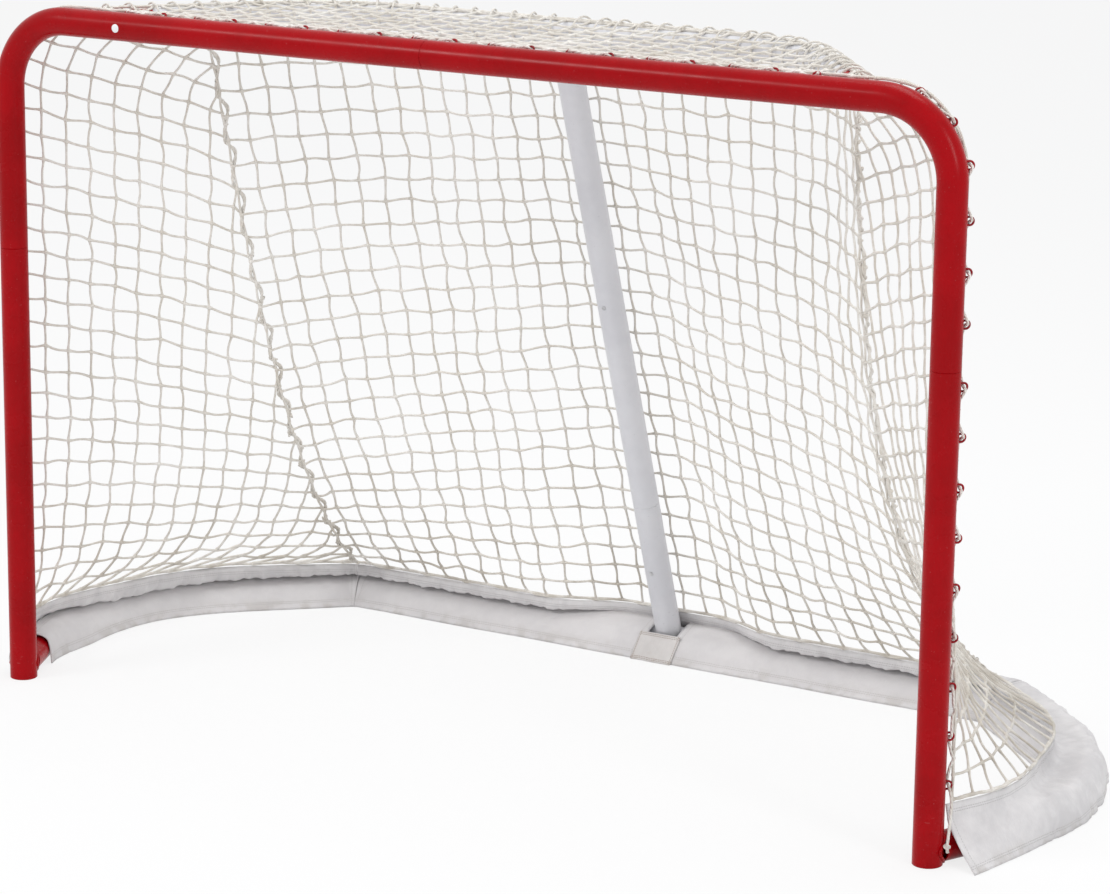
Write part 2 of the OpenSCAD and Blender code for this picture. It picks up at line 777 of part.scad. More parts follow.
// Closed sheet of thickness t round a grid of points
module sheet(g, t) {
    ni = len(g);
    nj = len(g[0]);
    pts = [for (c = [-1, 1], i = [0 : ni - 1], j = [0 : nj - 1])
        g[i][j] + c * t / 2 * unit(cross(dir_i(g, i, j), dir_j(g, i, j)))];
    function at(c, i, j) = c * ni * nj + i * nj + j;
    faces = [for (i = [0 : ni - 2], j = [0 : nj - 2], c = [0, 1])
        c == 0 ? [at(0, i, j), at(0, i + 1, j), at(0, i + 1, j + 1), at(0, i, j + 1)]
        : [at(1, i, j), at(1, i, j + 1), at(1, i + 1, j + 1), at(1, i + 1, j)]];
    rim_i = [for (i = [0 : ni - 2], e = [0, nj - 1])
        e == 0 ? [at(0, i, 0), at(1, i, 0), at(1, i + 1, 0), at(0, i + 1, 0)]
        : [at(0, i, e), at(0, i + 1, e), at(1, i + 1, e), at(1, i, e)]];
    rim_j = [for (j = [0 : nj - 2], e = [0, ni - 1])
        e == 0 ? [at(0, 0, j), at(0, 0, j + 1), at(1, 0, j + 1), at(1, 0, j)]
        : [at(0, e, j), at(1, e, j), at(1, e, j + 1), at(0, e, j + 1)]];
    polyhedron(pts, halves(concat(faces, rim_i, rim_j)));
}

// Tube of radius r swept along points, with flat ends
module rope(route, r, sides) {
    last = len(route) - 1;
    heads = [for (i = [0 : last]) unit(route[min(i + 1, last)] - route[max(i - 1, 0)])];
    pts = [for (i = [0 : last])
        let (a = unit(cross(heads[i], [0.31, 0.94, 0.17])), b = cross(heads[i], a))
        for (k = [0 : sides - 1])
            route[i] + r * (cos(360 * k / sides) * a + sin(360 * k / sides) * b)];
    walls = [for (i = [0 : last - 1], k = [0 : sides - 1])
        [i * sides + k, i * sides + (k + 1) % sides,
            (i + 1) * sides + (k + 1) % sides, (i + 1) * sides + k]];
    caps = [for (k = [1 : sides - 2], c = [0, last])
        c == 0 ? [0, k + 1, k] : [c * sides, c * sides + k, c * sides + k + 1]];
    polyhedron(pts, concat(halves(walls), caps));
}

// ---- Netting -----------------------------------------------------------------

// Height of the skirt's top edge, and of the net's lower edge above it
function skirt_h(s) = mix(skirt_front_h, skirt_back_h, min(1, s / side_end_s) ^ 1.4);
function smooth(t) = let (c = max(0, min(1, t))) c * c * (3 - 2 * c);
function pulled(s) = smooth((s - 90) / 330) * smooth((middle_s - 90 - s) / 170);
function skirt_n(s) = mix(8, 4, min(1, s / 200)) - skirt_lean * pulled(s);
function net_foot(s) = base_at(s, skirt_n(s), skirt_h(s) + edge_gap + 2.2);

// Upper ends of the two seams lie on the outer side of the shelf tube
shelf_edge = shelf_r + soft_gap + 0.75 * twine;

// Round the shelf bends the net's corners stand out by the sag of its straight runs
back_step = (shelf_middle_s - seam_s) / (back_cols / 2);
bow_sag = back_step ^ 2 / (8 * (shelf_bend_r + shelf_edge));
bow_from = shelf_run[0][1];
bow_to = bow_from + seg_len(shelf_run[1]);
function bow_out(s) = s > bow_from && s < bow_to ? bow_sag : 0;
foot_start_s = 42;

// Front edge of a side net: up the post, round the bend and along the crossbar
front_len = bend_z - net_foot(foot_start_s).z;
bend_len = corner_r * PI / 2;
top_len = bend_x - shelf_root_x - 4;
function front_edge(v) =
    let (d = v * (front_len + bend_len + top_len))
    d < front_len ? [post_x + edge_out, edge_back, net_foot(foot_start_s).z + d]
    : d < front_len + bend_len
        ? let (t = 90 - (d - front_len) / bend_len * 90, r = corner_r + edge_out)
            [bend_x + r * sin(t), edge_back, bend_z + r * cos(t)]
        : [bend_x - (d - front_len - bend_len), edge_back, bar_z + edge_out];

// The netting sags inward, forward and down between shelf and base, most at low v
function sag(v) =
    v <= 0 || v >= 1 ? [0, 0, 0]
    : -v ^ sag_shape[0] * (1 - v) ^ sag_shape[1] / sag_peak * [seam_sag_in, seam_sag_front, seam_sag_down];
sag_shape = [0.89, 1.34];
sag_at = sag_shape[0] / (sag_shape[0] + sag_shape[1]);
sag_peak = sag_at ^ sag_shape[0] * (1 - sag_at) ^ sag_shape[1];

function seam(v) = mix(net_foot(side_end_s), shelf_at(seam_s, shelf_edge, bar_z), v) + sag(v);

// Rows lie closer together towards the ice, where the netting turns outward
function row_at(j) = (j / net_rows) ^ 1.7;

// Upper edge of a side net: along the shelf's outer side, rising to the crossbar
function side_top(u) =
    let (s = mix((edge_back + 4) / cos(shelf_angle), seam_s, u), q = shelf_at(s, shelf_edge, bar_z))
    mix(front_edge(1), q, min(1, 5 * u));

// The net hangs straight from front edge to seam and flares to the base only near the ice
flare_rise = 0.3;
function side_point(u, v) =
    let (flare = max(0, 1 - v / flare_rise) ^ 4, ends = [front_edge(0), seam(0), front_edge(1), seam(1)])
    mix(front_edge(v), seam(v), u)
    + flare * (net_foot(mix(foot_start_s, side_end_s, u)) - mix(ends[0], ends[1], u))
    + v ^ 4 * (side_top(u) - mix(ends[2], ends[3], u));

function back_point(u, v) =
    let (k = abs(2 * u - 1), m = u < 0.5 ? -1 : 1,
        low = net_foot(mix(middle_s, side_end_s, k)),
        s = mix(shelf_middle_s, seam_s, k),
        high = shelf_at(s, shelf_edge + bow_out(s), bar_z),
        p = mix(low, high, v) + max(0, k - 1 / back_cols) / (1 - 1 / back_cols) * sag(v))
    [m * p.x, p.y, p.z];

// Share of a panel's width that its edge twine keeps back from the seam
seam_share = (twine / 2 + soft_gap + 0.5) / 700;

module side_net() {
    lattice([for (i = [0 : side_cols])
        [for (j = [0 : net_rows]) side_point(i / side_cols * (1 - seam_share), row_at(j))]], twine);
}

module left_side_net() {
    color(cream) mirror([1, 0, 0]) side_net();
}

module right_side_net() {
    color(cream) side_net();
}

module back_net() {
    color(cream) lattice([for (i = [0 : back_cols])
        let (u = mix(seam_share, 1 - seam_share, i / back_cols))
        [for (j = [0 : net_rows]) back_point(u, row_at(j))]], twine);
}

// Columns of the top net stand over those of the back net, with one more each side
top_xs = [for (i = [-1 : back_cols + 1])
    i < 0 ? -shelf_at(seam_s, 0, 0).x - 72
    : i > back_cols ? shelf_at(seam_s, 0, 0).x + 72
    : let (k = 2 * i / back_cols - 1)
        sign(k) * shelf_at(mix(shelf_middle_s, seam_s, abs(k)), 0, 0).x];

// Depth of the top net's back edge at a distance x from the middle, along the shelf axis
function shelf_depth(x) =
    x < shelf_corner_x - shelf_tan ? shelf_y
    : x > shelf_corner_x - shelf_tan + shelf_bend_r * sin(shelf_turn)
        ? (shelf_root_x - x) / tan(shelf_angle)
        : shelf_y - shelf_bend_r + bow_sag
            + sqrt(shelf_bend_r ^ 2 - (x - shelf_corner_x + shelf_tan) ^ 2);

module top_net() {
    color(cream) lattice([for (x = top_xs)
        [for (j = [0 : top_rows])
            [x, mix(edge_back, shelf_depth(abs(x)), j / top_rows), bar_z + edge_out]]], twine);
}

// Cord sewn along the outside of the seam between side and back net
module seam_cord() {
    out = unit([0.85, 0.25, 0.45]) * (twine + 2.2);
    knots = [for (j = [0 : net_rows]) seam(row_at(j))];
    low = mix(knots[0], knots[1], 0.08);
    high = mix(knots[net_rows - 1], knots[net_rows], 0.9);
    rope([for (p = concat([low], [for (j = [1 : net_rows - 1]) knots[j]], [high])) p + out], twine / 2, 12);
}

module left_seam_cord() {
    color(cream) mirror([1, 0, 0]) seam_cord();
}

module right_seam_cord() {
    color(cream) seam_cord();
}

// ---- Lacing ------------------------------------------------------------------

// Frame of a hook: axis point, outward direction and direction along the tube
function bar_hook(x) = [[x, 0, bar_z], [0, 0, 1], [1, 0, 0]];
function bend_hook(t) = [bend_at(t), [sin(t), 0, cos(t)], [cos(t), 0, -sin(t)]];
function post_hook(z) = [[post_x, 0, z], [1, 0, 0], [0, 0, -1]];

lace_in = 5.2;
lace_side = 7;
lace_h = frame_r + hook_leg + 0.5;
lace_mid = [edge_back - twine / 2 - lacing_d / 2 - 0.2, edge_out - 1.5];

// Rope route through a row of hooks, passing each from one side to the other
function lace(hooks) =
    [for (i = [0 : len(hooks) - 1])
        let (k = hooks[i], s = i % 2 == 0 ? -1 : 1, o = k[1], a = k[2], b = [0, 1, 0],
            c = k[0] + (o + b) / sqrt(2) * lace_h, l = (b - o) / sqrt(2) * lace_side * s,
            n = hooks[min(i + 1, len(hooks) - 1)], m = (k[0] + n[0]) / 2, q = unit(o + n[1]))
        for (p = concat([c - lace_in * a - l, c + lace_in * a + l],
            i < len(hooks) - 1 ? [m + lace_mid[0] * b + lace_mid[1] * q] : [])) p];

side_hooks = concat([for (t = bend_angles) bend_hook(t)],
    [for (i = [2 : -1 : 0]) post_hook(upper_zs[i])], [for (z = hook_zs) post_hook(z)]);

module crossbar_lacing() {
    n = crossbar_hooks_each;
    color(cream) rope(lace([for (i = [-n : n]) bar_hook(i * crossbar_pitch)]), lacing_d / 2, 6);
}

module left_post_lacing() {
    color(cream) mirror([1, 0, 0]) rope(lace(side_hooks), lacing_d / 2, 6);
}

module right_post_lacing() {
    color(cream) rope(lace(side_hooks), lacing_d / 2, 6);
}

module lacing_tail() {
    color(cream) translate([0, centre_y, 0]) rope(tail_route, lacing_d / 2, 8);
}

module tail_knot() {
    color(cream) translate([0, centre_y, 0]) translate(knot_at) sphere(d = knot_d);
}

// ---- Ties --------------------------------------------------------------------

// Ring of twine round a tube, square to its run, shifted outward and up, and open
// over twice the angle given at its lowest point
module tie(run, p, a, z, s, r, shift, open = 0) {
    w = along(run, p, a, s);
    translate([w[0].x, w[0].y, z]) rotate([0, 0, -w[1]]) translate([shift, 0, shift])
        rotate([-90, 0, 0]) rotate([0, 0, 90 + open]) rotate_extrude(angle = 360 - 2 * open)
            translate([r, 0]) circle(d = tie_d, $fn = 16);
}

// A shelf tie hugs the tube's inner lower side and goes round the net's edges
shelf_tie_shift = 0.66 * twine;
shelf_tie_r = shelf_r + soft_gap + shelf_tie_shift * sqrt(2) + tie_d / 2;
seam_tie_back = 59;
// Share of a column's width at which its tie sits, where the net lies close to the tube
function tie_share(a, b) = bow_out(a) == bow_out(b) ? 0.5 : bow_out(a) > 0 ? 0.85 : 0.15;
shelf_ties = concat([seam_s - seam_tie_back], [for (i = [0 : floor(back_cols / 2) - 1])
    let (a = seam_s + i * back_step, b = a + back_step) mix(a, b, tie_share(a, b))]);

module shelf_net_ties() {
    color(cream) for (side = [0, 1], s = shelf_ties)
        mirror([side, 0, 0])
            tie(shelf_run, shelf_start, -shelf_angle, bar_z, s, shelf_tie_r, shelf_tie_shift);
}

// A base tie ends on both sides of the line where the tube stands on the ice
base_ties = [for (s = [base_stub_len + 30 : base_tie_pitch : middle_s - 90]) s];
base_tie_r = base_r + soft_gap + tie_d / 2;
tie_open = acos((base_r - tie_d) / base_tie_r);

module base_net_ties() {
    color(cream) for (side = [0, 1], s = base_ties)
        mirror([side, 0, 0])
            tie(base_run, base_start, base_lead_angle, base_r, s, base_tie_r, 0, tie_open);
}

// ---- Skirt -------------------------------------------------------------------

hem_z = 1.2;

// Distance of the two hems from the tube axis at distance s along the base
function outer_hem(s) = skirt_flare + skirt_front_flare * max(0, 1 - s / 240) ^ 1.3;
function inner_hem(s) = mix(flap_side, flap_back, smooth((s - 450) / 300)) - 28 * smooth((260 - s) / 170);
function wave(s, k) = fold * sin(s * k);

// Wall of the skirt behind the tube, from its top edge down to the outer hem
function wall_row(s) = [
    base_at(s, skirt_n(s) + wave(s, 1.9) * 0.4, skirt_h(s)),
    base_at(s, 17 + 2 * pulled(s) + wave(s, 2.3) * 0.5, mix(0.64 * skirt_h(s) + 2, 60.5, pulled(s))),
    base_at(s, mix(35, outer_hem(s), 0.25) + wave(s, 1.7) * 0.5, 33),
    base_at(s, outer_hem(s) + wave(s, 1.3) * 0.6 - fold, hem_z)
];

// Flap over the tube, from the wall down to the inner hem
flap_top = base_od + 7;
function flap_row(s) = [
    base_at(s, 19, flap_top + 2),
    base_at(s, 0, flap_top + 0.4 + wave(s, 2.1) * 0.3),
    base_at(s, -19, flap_top - 6 + wave(s, 2.1) * 0.3),
    base_at(s, -12.6 - inner_hem(s) * 0.45 + wave(s, 1.5) * 0.3, flap_top - 20),
    base_at(s, -inner_hem(s) + wave(s, 1.1) * 0.5, hem_z)
];

// One skirt panel: wall from s0 to s1 and flap from f0 to f1
module skirt_panel(s0, s1, f0, f1, n) {
    sheet([for (i = [0 : n]) wall_row(mix(s0, s1, i / n))], skirt_t);
    sheet([for (i = [0 : n]) flap_row(mix(f0, f1, i / n))], skirt_t);
}

slit = 1.2;
side_steps = 18;
rear_steps = 12;

module side_skirt() {
    skirt_panel(28, side_end_s - slit, 88, side_end_s - slit, side_steps);
}

module left_side_skirt() {
    color(canvas) mirror([1, 0, 0]) side_skirt();
}

module right_side_skirt() {
    color(canvas) side_skirt();
}

// The rear panels meet behind the support, and their flaps stop beside it
module rear_skirt() {
    skirt_panel(side_end_s + slit, middle_s - 0.4, side_end_s + slit,
        middle_s - support_r - 7, rear_steps);
}

module left_rear_skirt() {
    color(canvas) mirror([1, 0, 0]) rear_skirt();
}

module right_rear_skirt() {
    color(canvas) rear_skirt();
}

// Turned-back piece of canvas in front of the support's foot
patch_x = 44;
module skirt_patch() {
    color(canvas) sheet([for (x = [-patch_x, -14, 14, patch_x])
        [[x, base_y - 50, 47], [x, base_y - 17 - flap_back * 0.47, flap_top - 20.6],
            [x, base_y - flap_back - 5, hem_z]]], skirt_t);
}

module placed() {
    translate([0, -centre_y, 0]) children();
}

placed() left_corner_tube();
placed() right_corner_tube();
placed() left_lower_post();
placed() right_lower_post();
placed() left_foot_plug();
placed() right_foot_plug();
placed() frame_screws();
placed() crossbar_plug();
placed() left_corner_hooks();
placed() right_corner_hooks();
placed() left_post_hooks();
placed() right_post_hooks();
placed() left_shelf_stub();
placed() right_shelf_stub();
placed() left_shelf_tube();
placed() right_shelf_tube();
placed() shelf_tee();
placed() shelf_screws();
placed() upper_support();
placed() lower_support();
placed() support_rivets();
placed() support_socket();
placed() left_base_stub();
placed() right_base_stub();
placed() left_base_tube();
placed() right_base_tube();
placed() rear_base_tube();
placed() base_screws();
placed() top_net();
placed() back_net();
placed() left_side_net();
placed() right_side_net();
placed() left_seam_cord();
placed() right_seam_cord();
placed() crossbar_lacing();
placed() left_post_lacing();
placed() right_post_lacing();
placed() lacing_tail();
placed() tail_knot();
placed() shelf_net_ties();
placed() base_net_ties();
placed() left_side_skirt();
placed() right_side_skirt();
placed() left_rear_skirt();
placed() right_rear_skirt();
placed() skirt_patch();
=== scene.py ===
import math

import bmesh
import bpy
import numpy as np
from mathutils import Euler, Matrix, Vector


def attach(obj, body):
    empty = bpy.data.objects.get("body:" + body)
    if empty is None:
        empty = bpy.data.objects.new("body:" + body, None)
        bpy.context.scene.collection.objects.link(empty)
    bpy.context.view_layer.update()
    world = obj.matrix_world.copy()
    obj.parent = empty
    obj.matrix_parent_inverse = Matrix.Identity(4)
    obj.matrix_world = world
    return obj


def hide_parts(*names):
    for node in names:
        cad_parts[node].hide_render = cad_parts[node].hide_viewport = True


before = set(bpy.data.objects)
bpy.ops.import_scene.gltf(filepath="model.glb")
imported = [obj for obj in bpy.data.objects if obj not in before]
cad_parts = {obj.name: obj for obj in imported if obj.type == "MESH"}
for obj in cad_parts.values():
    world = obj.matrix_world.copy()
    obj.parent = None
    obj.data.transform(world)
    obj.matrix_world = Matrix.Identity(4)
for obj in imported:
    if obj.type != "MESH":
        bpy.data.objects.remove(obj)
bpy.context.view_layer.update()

# ---- Camera, at the photograph's viewing angle


def linked(name, data):
    """A new object of the scene."""
    ob = bpy.data.objects.new(name, data)
    bpy.context.scene.collection.objects.link(ob)
    return ob


cam = linked("camera", bpy.data.cameras.new("camera"))
cam.location = (3.32935, -5.57667, 2.04603)
cam.rotation_euler = Euler([math.radians(a) for a in (76.50148884, -0.68231871, 31.23989796)], "XYZ")
cam.data.sensor_fit = "HORIZONTAL"
cam.data.sensor_width = 36
cam.data.lens = 3667 * 36 / 1110
cam.data.clip_start, cam.data.clip_end = 0.05, 200
bpy.context.scene.camera = cam
bpy.context.scene.view_settings.view_transform = "Standard"

# ---- Sizes of the construction, in mm, in its own frame

D, TURN = math.pi / 180, 2 * math.pi
CENTRE_Y = 422.05
POST_X, BAR_Z, FRAME_R, CORNER_R = 939.8, 1244.6, 25.4, 128.0
BEND_X, BEND_Z = POST_X - CORNER_R, BAR_Z - CORNER_R
JOINT_Z, BAR_JOINT_X = 822.0, -38.1
SHELF_R, SHELF_X, SHELF_Y, SHELF_ANGLE, SHELF_BEND_R = 21.1, 782.0, 394.0, 37.5, 300
SHELF_STUB, SHELF_TEE, SEAM_S = 136, 60, 240.0
SUPPORT_R, SUPPORT_JOINT = 24.9, 315
BASE_R, BASE_Y, BASE_ANGLE, BASE_STUB, REAR_HALF = 25.4, 822.0, 24, 120.0, 560
SIDE_BEND_R, SIDE_TURN, CORNER_BEND_R, CORNER_TURN = 500, 70.0, 110, 44.0
EDGE_BACK, EDGE_OUT, EDGE_GAP, SHELF_EDGE = 33.0, 24.0, 2.9, 25.25
CELL, CORD_R = 45.0, 2.5
SKIRT_LEAN, SKIRT_FRONT_H, SKIRT_BACK_H = 55.0, 100.0, 80.0
FLAP_SIDE, FLAP_BACK = 60.0, 85.0
HOOK_STEP, POST_HOOK_STEP = 76.2, 82.6


def sind(a):
    return math.sin(a * D)


def cosd(a):
    return math.cos(a * D)


def tand(a):
    return math.tan(a * D)


def seg_len(g):
    return g[1] if g[0] == 0 else g[0] * g[1] * D


def run_len(run):
    return sum(seg_len(g) for g in run)


def step(p, a, g, d):
    if g[0] == 0:
        return (p[0] + d * sind(a), p[1] + d * cosd(a)), a
    b = a - d / g[0] / D
    return (
        p[0] + g[0] * (cosd(b) - cosd(a)),
        p[1] + g[0] * (sind(a) - sind(b)),
    ), b


def along(run, p, a, s):
    for i, g in enumerate(run):
        length = seg_len(g)
        if i == len(run) - 1 or s <= length:
            return step(p, a, g, s)
        p, a = step(p, a, g, length)
        s -= length


def vec(x, y, z):
    return np.array([x, y, z], float)


def beside(w, n, z):
    (x, y), h = w
    return vec(x + n * cosd(h), y - n * sind(h), z)


SIDE_END_ANGLE = SIDE_TURN - BASE_ANGLE
SIDE_RISE = SIDE_BEND_R * (sind(BASE_ANGLE) + sind(SIDE_END_ANGLE))
CORNER_TAN = CORNER_BEND_R * tand(CORNER_TURN / 2)
TAIL_LEN = (BASE_Y - BASE_STUB * cosd(BASE_ANGLE) - SIDE_RISE) / cosd(SIDE_END_ANGLE) - CORNER_TAN
BASE_BENDS = [(0, BASE_STUB), (SIDE_BEND_R, SIDE_TURN), (0, TAIL_LEN), (CORNER_BEND_R, CORNER_TURN)]
BASE_START = (POST_X, 0.0)
CORNER_END = along(BASE_BENDS, BASE_START, BASE_ANGLE, run_len(BASE_BENDS))[0]
BASE_RUN = BASE_BENDS + [(0, CORNER_END[0])]
SIDE_END = run_len(BASE_BENDS) - seg_len(BASE_BENDS[3]) / 2
MIDDLE = run_len(BASE_RUN)

SHELF_TURN = 90 - SHELF_ANGLE
SHELF_TAN = SHELF_BEND_R * tand(SHELF_TURN / 2)
SHELF_CORNER = SHELF_X - SHELF_Y * tand(SHELF_ANGLE)
SHELF_RUN = [
    (0, SHELF_Y / cosd(SHELF_ANGLE) - SHELF_TAN), (SHELF_BEND_R, SHELF_TURN), (0, SHELF_CORNER - SHELF_TAN),
]
SHELF_MIDDLE = run_len(SHELF_RUN)


def base_at(s, n, z):
    return beside(along(BASE_RUN, BASE_START, BASE_ANGLE, s), n, z)


def shelf_at(s, n, z):
    return beside(along(SHELF_RUN, (SHELF_X, 0.0), -SHELF_ANGLE, s), n, z)


def mix(a, b, t):
    return a + (b - a) * t


def unit(v):
    v = np.asarray(v, float)
    return v / np.linalg.norm(v, axis=-1, keepdims=True)


def run_lengths(line):
    """Distance of each point of a line from its first."""
    return np.concatenate([[0], np.cumsum(np.linalg.norm(np.diff(np.asarray(line), axis=0), axis=1))])


def skirt_h(s):
    return mix(SKIRT_FRONT_H, SKIRT_BACK_H, min(1, s / SIDE_END) ** 1.4)


def smooth(t):
    t = min(1.0, max(0.0, t))
    return t * t * (3 - 2 * t)


def pulled(s):
    """Where the net pulls the skirt's top edge inward over the tube."""
    return smooth((s - 90) / 330) * smooth((MIDDLE - 90 - s) / 170)


def skirt_n(s):
    return mix(8.0, 4.0, min(1, s / 200)) - SKIRT_LEAN * pulled(s)


def net_foot(s):
    return base_at(s, skirt_n(s), skirt_h(s) + EDGE_GAP + 2.2)


FOOT_S = 42.0
FRONT_LEN = BEND_Z - net_foot(FOOT_S)[2]
BEND_LEN = CORNER_R * math.pi / 2
TOP_LEN = BEND_X - SHELF_X - 4
FRONT_ALL = FRONT_LEN + BEND_LEN + TOP_LEN


def edge_out(d):
    """How far outward the net's border cord lies at distance d up the front edge."""
    return EDGE_OUT - 15 * smooth((d - 150) / 250) * smooth((FRONT_LEN + BEND_LEN * 0.9 - d) / 200)


def front_edge(v):
    d = v * FRONT_ALL
    if d < FRONT_LEN:
        return np.array([POST_X + edge_out(d), EDGE_BACK, net_foot(FOOT_S)[2] + d])
    if d < FRONT_LEN + BEND_LEN:
        t = (90 - (d - FRONT_LEN) / BEND_LEN * 90) * D
        r = CORNER_R + edge_out(d)
        return vec(BEND_X + r * math.sin(t), EDGE_BACK, BEND_Z + r * math.cos(t))
    return vec(BEND_X - (d - FRONT_LEN - BEND_LEN), EDGE_BACK, BAR_Z + EDGE_OUT)


SEAM_LOW, SEAM_HIGH = net_foot(SIDE_END), shelf_at(SEAM_S, SHELF_EDGE, BAR_Z)
SAG = vec(-45.0, -114.0, -60.0)
SAG_A, SAG_B = 0.89, 1.34
SAG_AT = SAG_A / (SAG_A + SAG_B)
SAG_PEAK = SAG_AT**SAG_A * (1 - SAG_AT) ** SAG_B


def sag(v):
    """How far the netting hangs from its straight line, most low down."""
    return SAG * (max(0, v) ** SAG_A * max(0, 1 - v) ** SAG_B / SAG_PEAK)


def seam(v):
    return mix(SEAM_LOW, SEAM_HIGH, v) + sag(v)


def side_top(u):
    s = mix((EDGE_BACK + 4) / cosd(SHELF_ANGLE), SEAM_S, u)
    return mix(front_edge(1), shelf_at(s, SHELF_EDGE, BAR_Z), min(1, 5 * u))


C00, C10, C01, C11 = front_edge(0), seam(0), front_edge(1), seam(1)
V_TABLE = np.linspace(0, 1, 401) ** 1.6
SEAM_S_TABLE = run_lengths([seam(v) for v in V_TABLE])


def row_v(t):
    """Row t of the net, from 0 at the foot to 1 at the top: half by seam length, half by height."""
    by_seam = float(np.interp(t * SEAM_S_TABLE[-1], SEAM_S_TABLE, V_TABLE))
    return mix(by_seam, t, 0.45)


def side_point(u, v):
    flare = max(0, 1 - v / 0.3) ** 4
    return (
        mix(front_edge(v), seam(v), u)
        + flare * (net_foot(mix(FOOT_S, SIDE_END, u)) - mix(C00, C10, u))
        + max(0, v) ** 4 * (side_top(u) - mix(C01, C11, u))
    )


def back_point(u, v):
    k = abs(2 * u - 1)
    low = net_foot(mix(MIDDLE, SIDE_END, k))
    high = shelf_at(mix(SHELF_MIDDLE, SEAM_S, k), SHELF_EDGE, BAR_Z)
    p = mix(low, high, v) + max(0, k - 1 / 9) / (1 - 1 / 9) * sag(v)
    return p * [-1 if u < 0.5 else 1, 1, 1]


BOW_X0 = SHELF_CORNER - SHELF_TAN
BOW_X1 = BOW_X0 + SHELF_BEND_R * sind(SHELF_TURN)


def shelf_depth(x):
    if x < BOW_X0:
        return SHELF_Y
    if x > BOW_X1:
        return (SHELF_X - x) / tand(SHELF_ANGLE)
    return SHELF_Y - SHELF_BEND_R + math.sqrt(SHELF_BEND_R**2 - (x - BOW_X0) ** 2)


HEAD, FOOT = vec(0, 380.0, BAR_Z), vec(0, 812.0, BASE_R)
SUPPORT_AXIS = unit(HEAD - FOOT)
SUPPORT_LEN = float(np.linalg.norm(HEAD - FOOT))
FLIP = vec(-1.0, 1, 1)

# ---- Mesh helpers


def to_frame(p):
    """Construction mm to the part's frame in metres."""
    return (np.asarray(p, float) - [0, CENTRE_Y, 0]) / 1000


def new_mesh(name, verts, quads, tris, layers):
    """One object from vertices in mm; layers are {name: (quad uvs, triangle uvs)}."""
    quads = np.asarray(quads, np.int32).reshape(-1, 4)
    tris = np.asarray(tris, np.int32).reshape(-1, 3)
    me = bpy.data.meshes.new(name)
    co = to_frame(verts).astype(np.float32)
    me.vertices.add(len(co))
    me.vertices.foreach_set("co", co.ravel())
    loops = np.concatenate([quads.ravel(), tris.ravel()])
    me.loops.add(len(loops))
    me.loops.foreach_set("vertex_index", loops)
    starts = np.concatenate([np.arange(len(quads)) * 4, 4 * len(quads) + np.arange(len(tris)) * 3])
    me.polygons.add(len(starts))
    me.polygons.foreach_set("loop_start", starts.astype(np.int32))
    me.polygons.foreach_set("use_smooth", np.full(len(starts), True))
    for key, (q, t) in layers.items():
        uv = np.concatenate([np.asarray(q, np.float32).reshape(-1, 2), np.asarray(t, np.float32).reshape(-1, 2)])
        me.uv_layers.new(name=key).data.foreach_set("uv", uv.ravel())
    me.update(calc_edges=True)
    me.validate()
    return linked(name, me)


def place(ob, mat, slot, *nodes):
    ob.data.materials.clear()
    ob.data.materials.append(mat)
    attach(ob, "root")
    if nodes:
        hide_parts(*nodes)
    return ob


def carried(tan):
    """An axis across each station of a line, carried along it without twist."""
    a = np.empty_like(tan)
    a[0] = unit(np.cross(tan[0], np.eye(3)[np.argmin(abs(tan[0]))]))
    for i in range(1, len(tan)):
        w = a[i - 1] - tan[i] * np.dot(a[i - 1], tan[i])
        a[i] = w / np.linalg.norm(w)
    return a


def ring_quads(n, k):
    """Faces between n rings of k points: station and side of each, and its corners."""
    i, j = (x.ravel() for x in np.meshgrid(np.arange(n - 1), np.arange(k), indexing="ij"))
    jj = (j + 1) % k
    return i, j, np.stack([i * k + j, (i + 1) * k + j, (i + 1) * k + jj, i * k + jj], 1)


class Tubes:
    """Round strands along polylines, gathered into one mesh."""

    def __init__(self, sides=6):
        self.sides = sides
        self.v, self.q, self.t, self.uq, self.ut = [], [], [np.zeros((0, 3))], [], [np.zeros((0, 3, 2))]
        self.n = 0

    def add(self, p, r, ref=None, mirror=False, caps=True):
        p = np.asarray(p, float)
        if mirror:
            p = p * FLIP
        n, k = len(p), self.sides
        r = np.full(n, float(r)) if np.ndim(r) == 0 else np.asarray(r, float)
        tan = np.gradient(p, axis=0)
        tan = unit(np.where(np.linalg.norm(tan, axis=1, keepdims=True) > 1e-9, tan, [0, 0, 1]))
        if ref is None:
            a = carried(tan)
        else:
            a = unit(np.cross(tan, np.asarray(ref, float) * (FLIP if mirror else 1)))
        b = np.cross(tan, a)
        th = np.arange(k) * TURN / k
        ring = p[:, None] + r[:, None, None] * (
            np.cos(th)[None, :, None] * a[:, None] + np.sin(th)[None, :, None] * b[:, None]
        )
        i, j, quads = ring_quads(n, k)
        s = run_lengths(p) / 1000
        corners = ((0, 0), (1, 0), (1, 1), (0, 1))
        self.v.append(ring.reshape(-1, 3))
        self.q.append(quads + self.n)
        self.uq.append(np.stack([np.stack([s[i + di], (j + dj) / k], 1) for di, dj in corners], 1))
        base = self.n
        self.n += n * k
        if caps:
            for end, last in ((0, False), (n - 1, True)):
                self.v.append(p[end : end + 1] + (tan[end] * r[end] * (0.5 if last else -0.5)))
                c = np.full(k, self.n)
                self.n += 1
                e = base + end * k + np.arange(k)
                f = base + end * k + (np.arange(k) + 1) % k
                self.t.append(np.stack([c, f, e] if last else [c, e, f], 1))
                self.ut.append(np.tile([[s[end], 0.5]], (3 * k, 1)).reshape(k, 3, 2))

    def build(self, name):
        v, q, t, uq, ut = (np.concatenate(x) for x in (self.v, self.q, self.t, self.uq, self.ut))
        return new_mesh(name, v, q, t, {"rope": (uq, ut)})


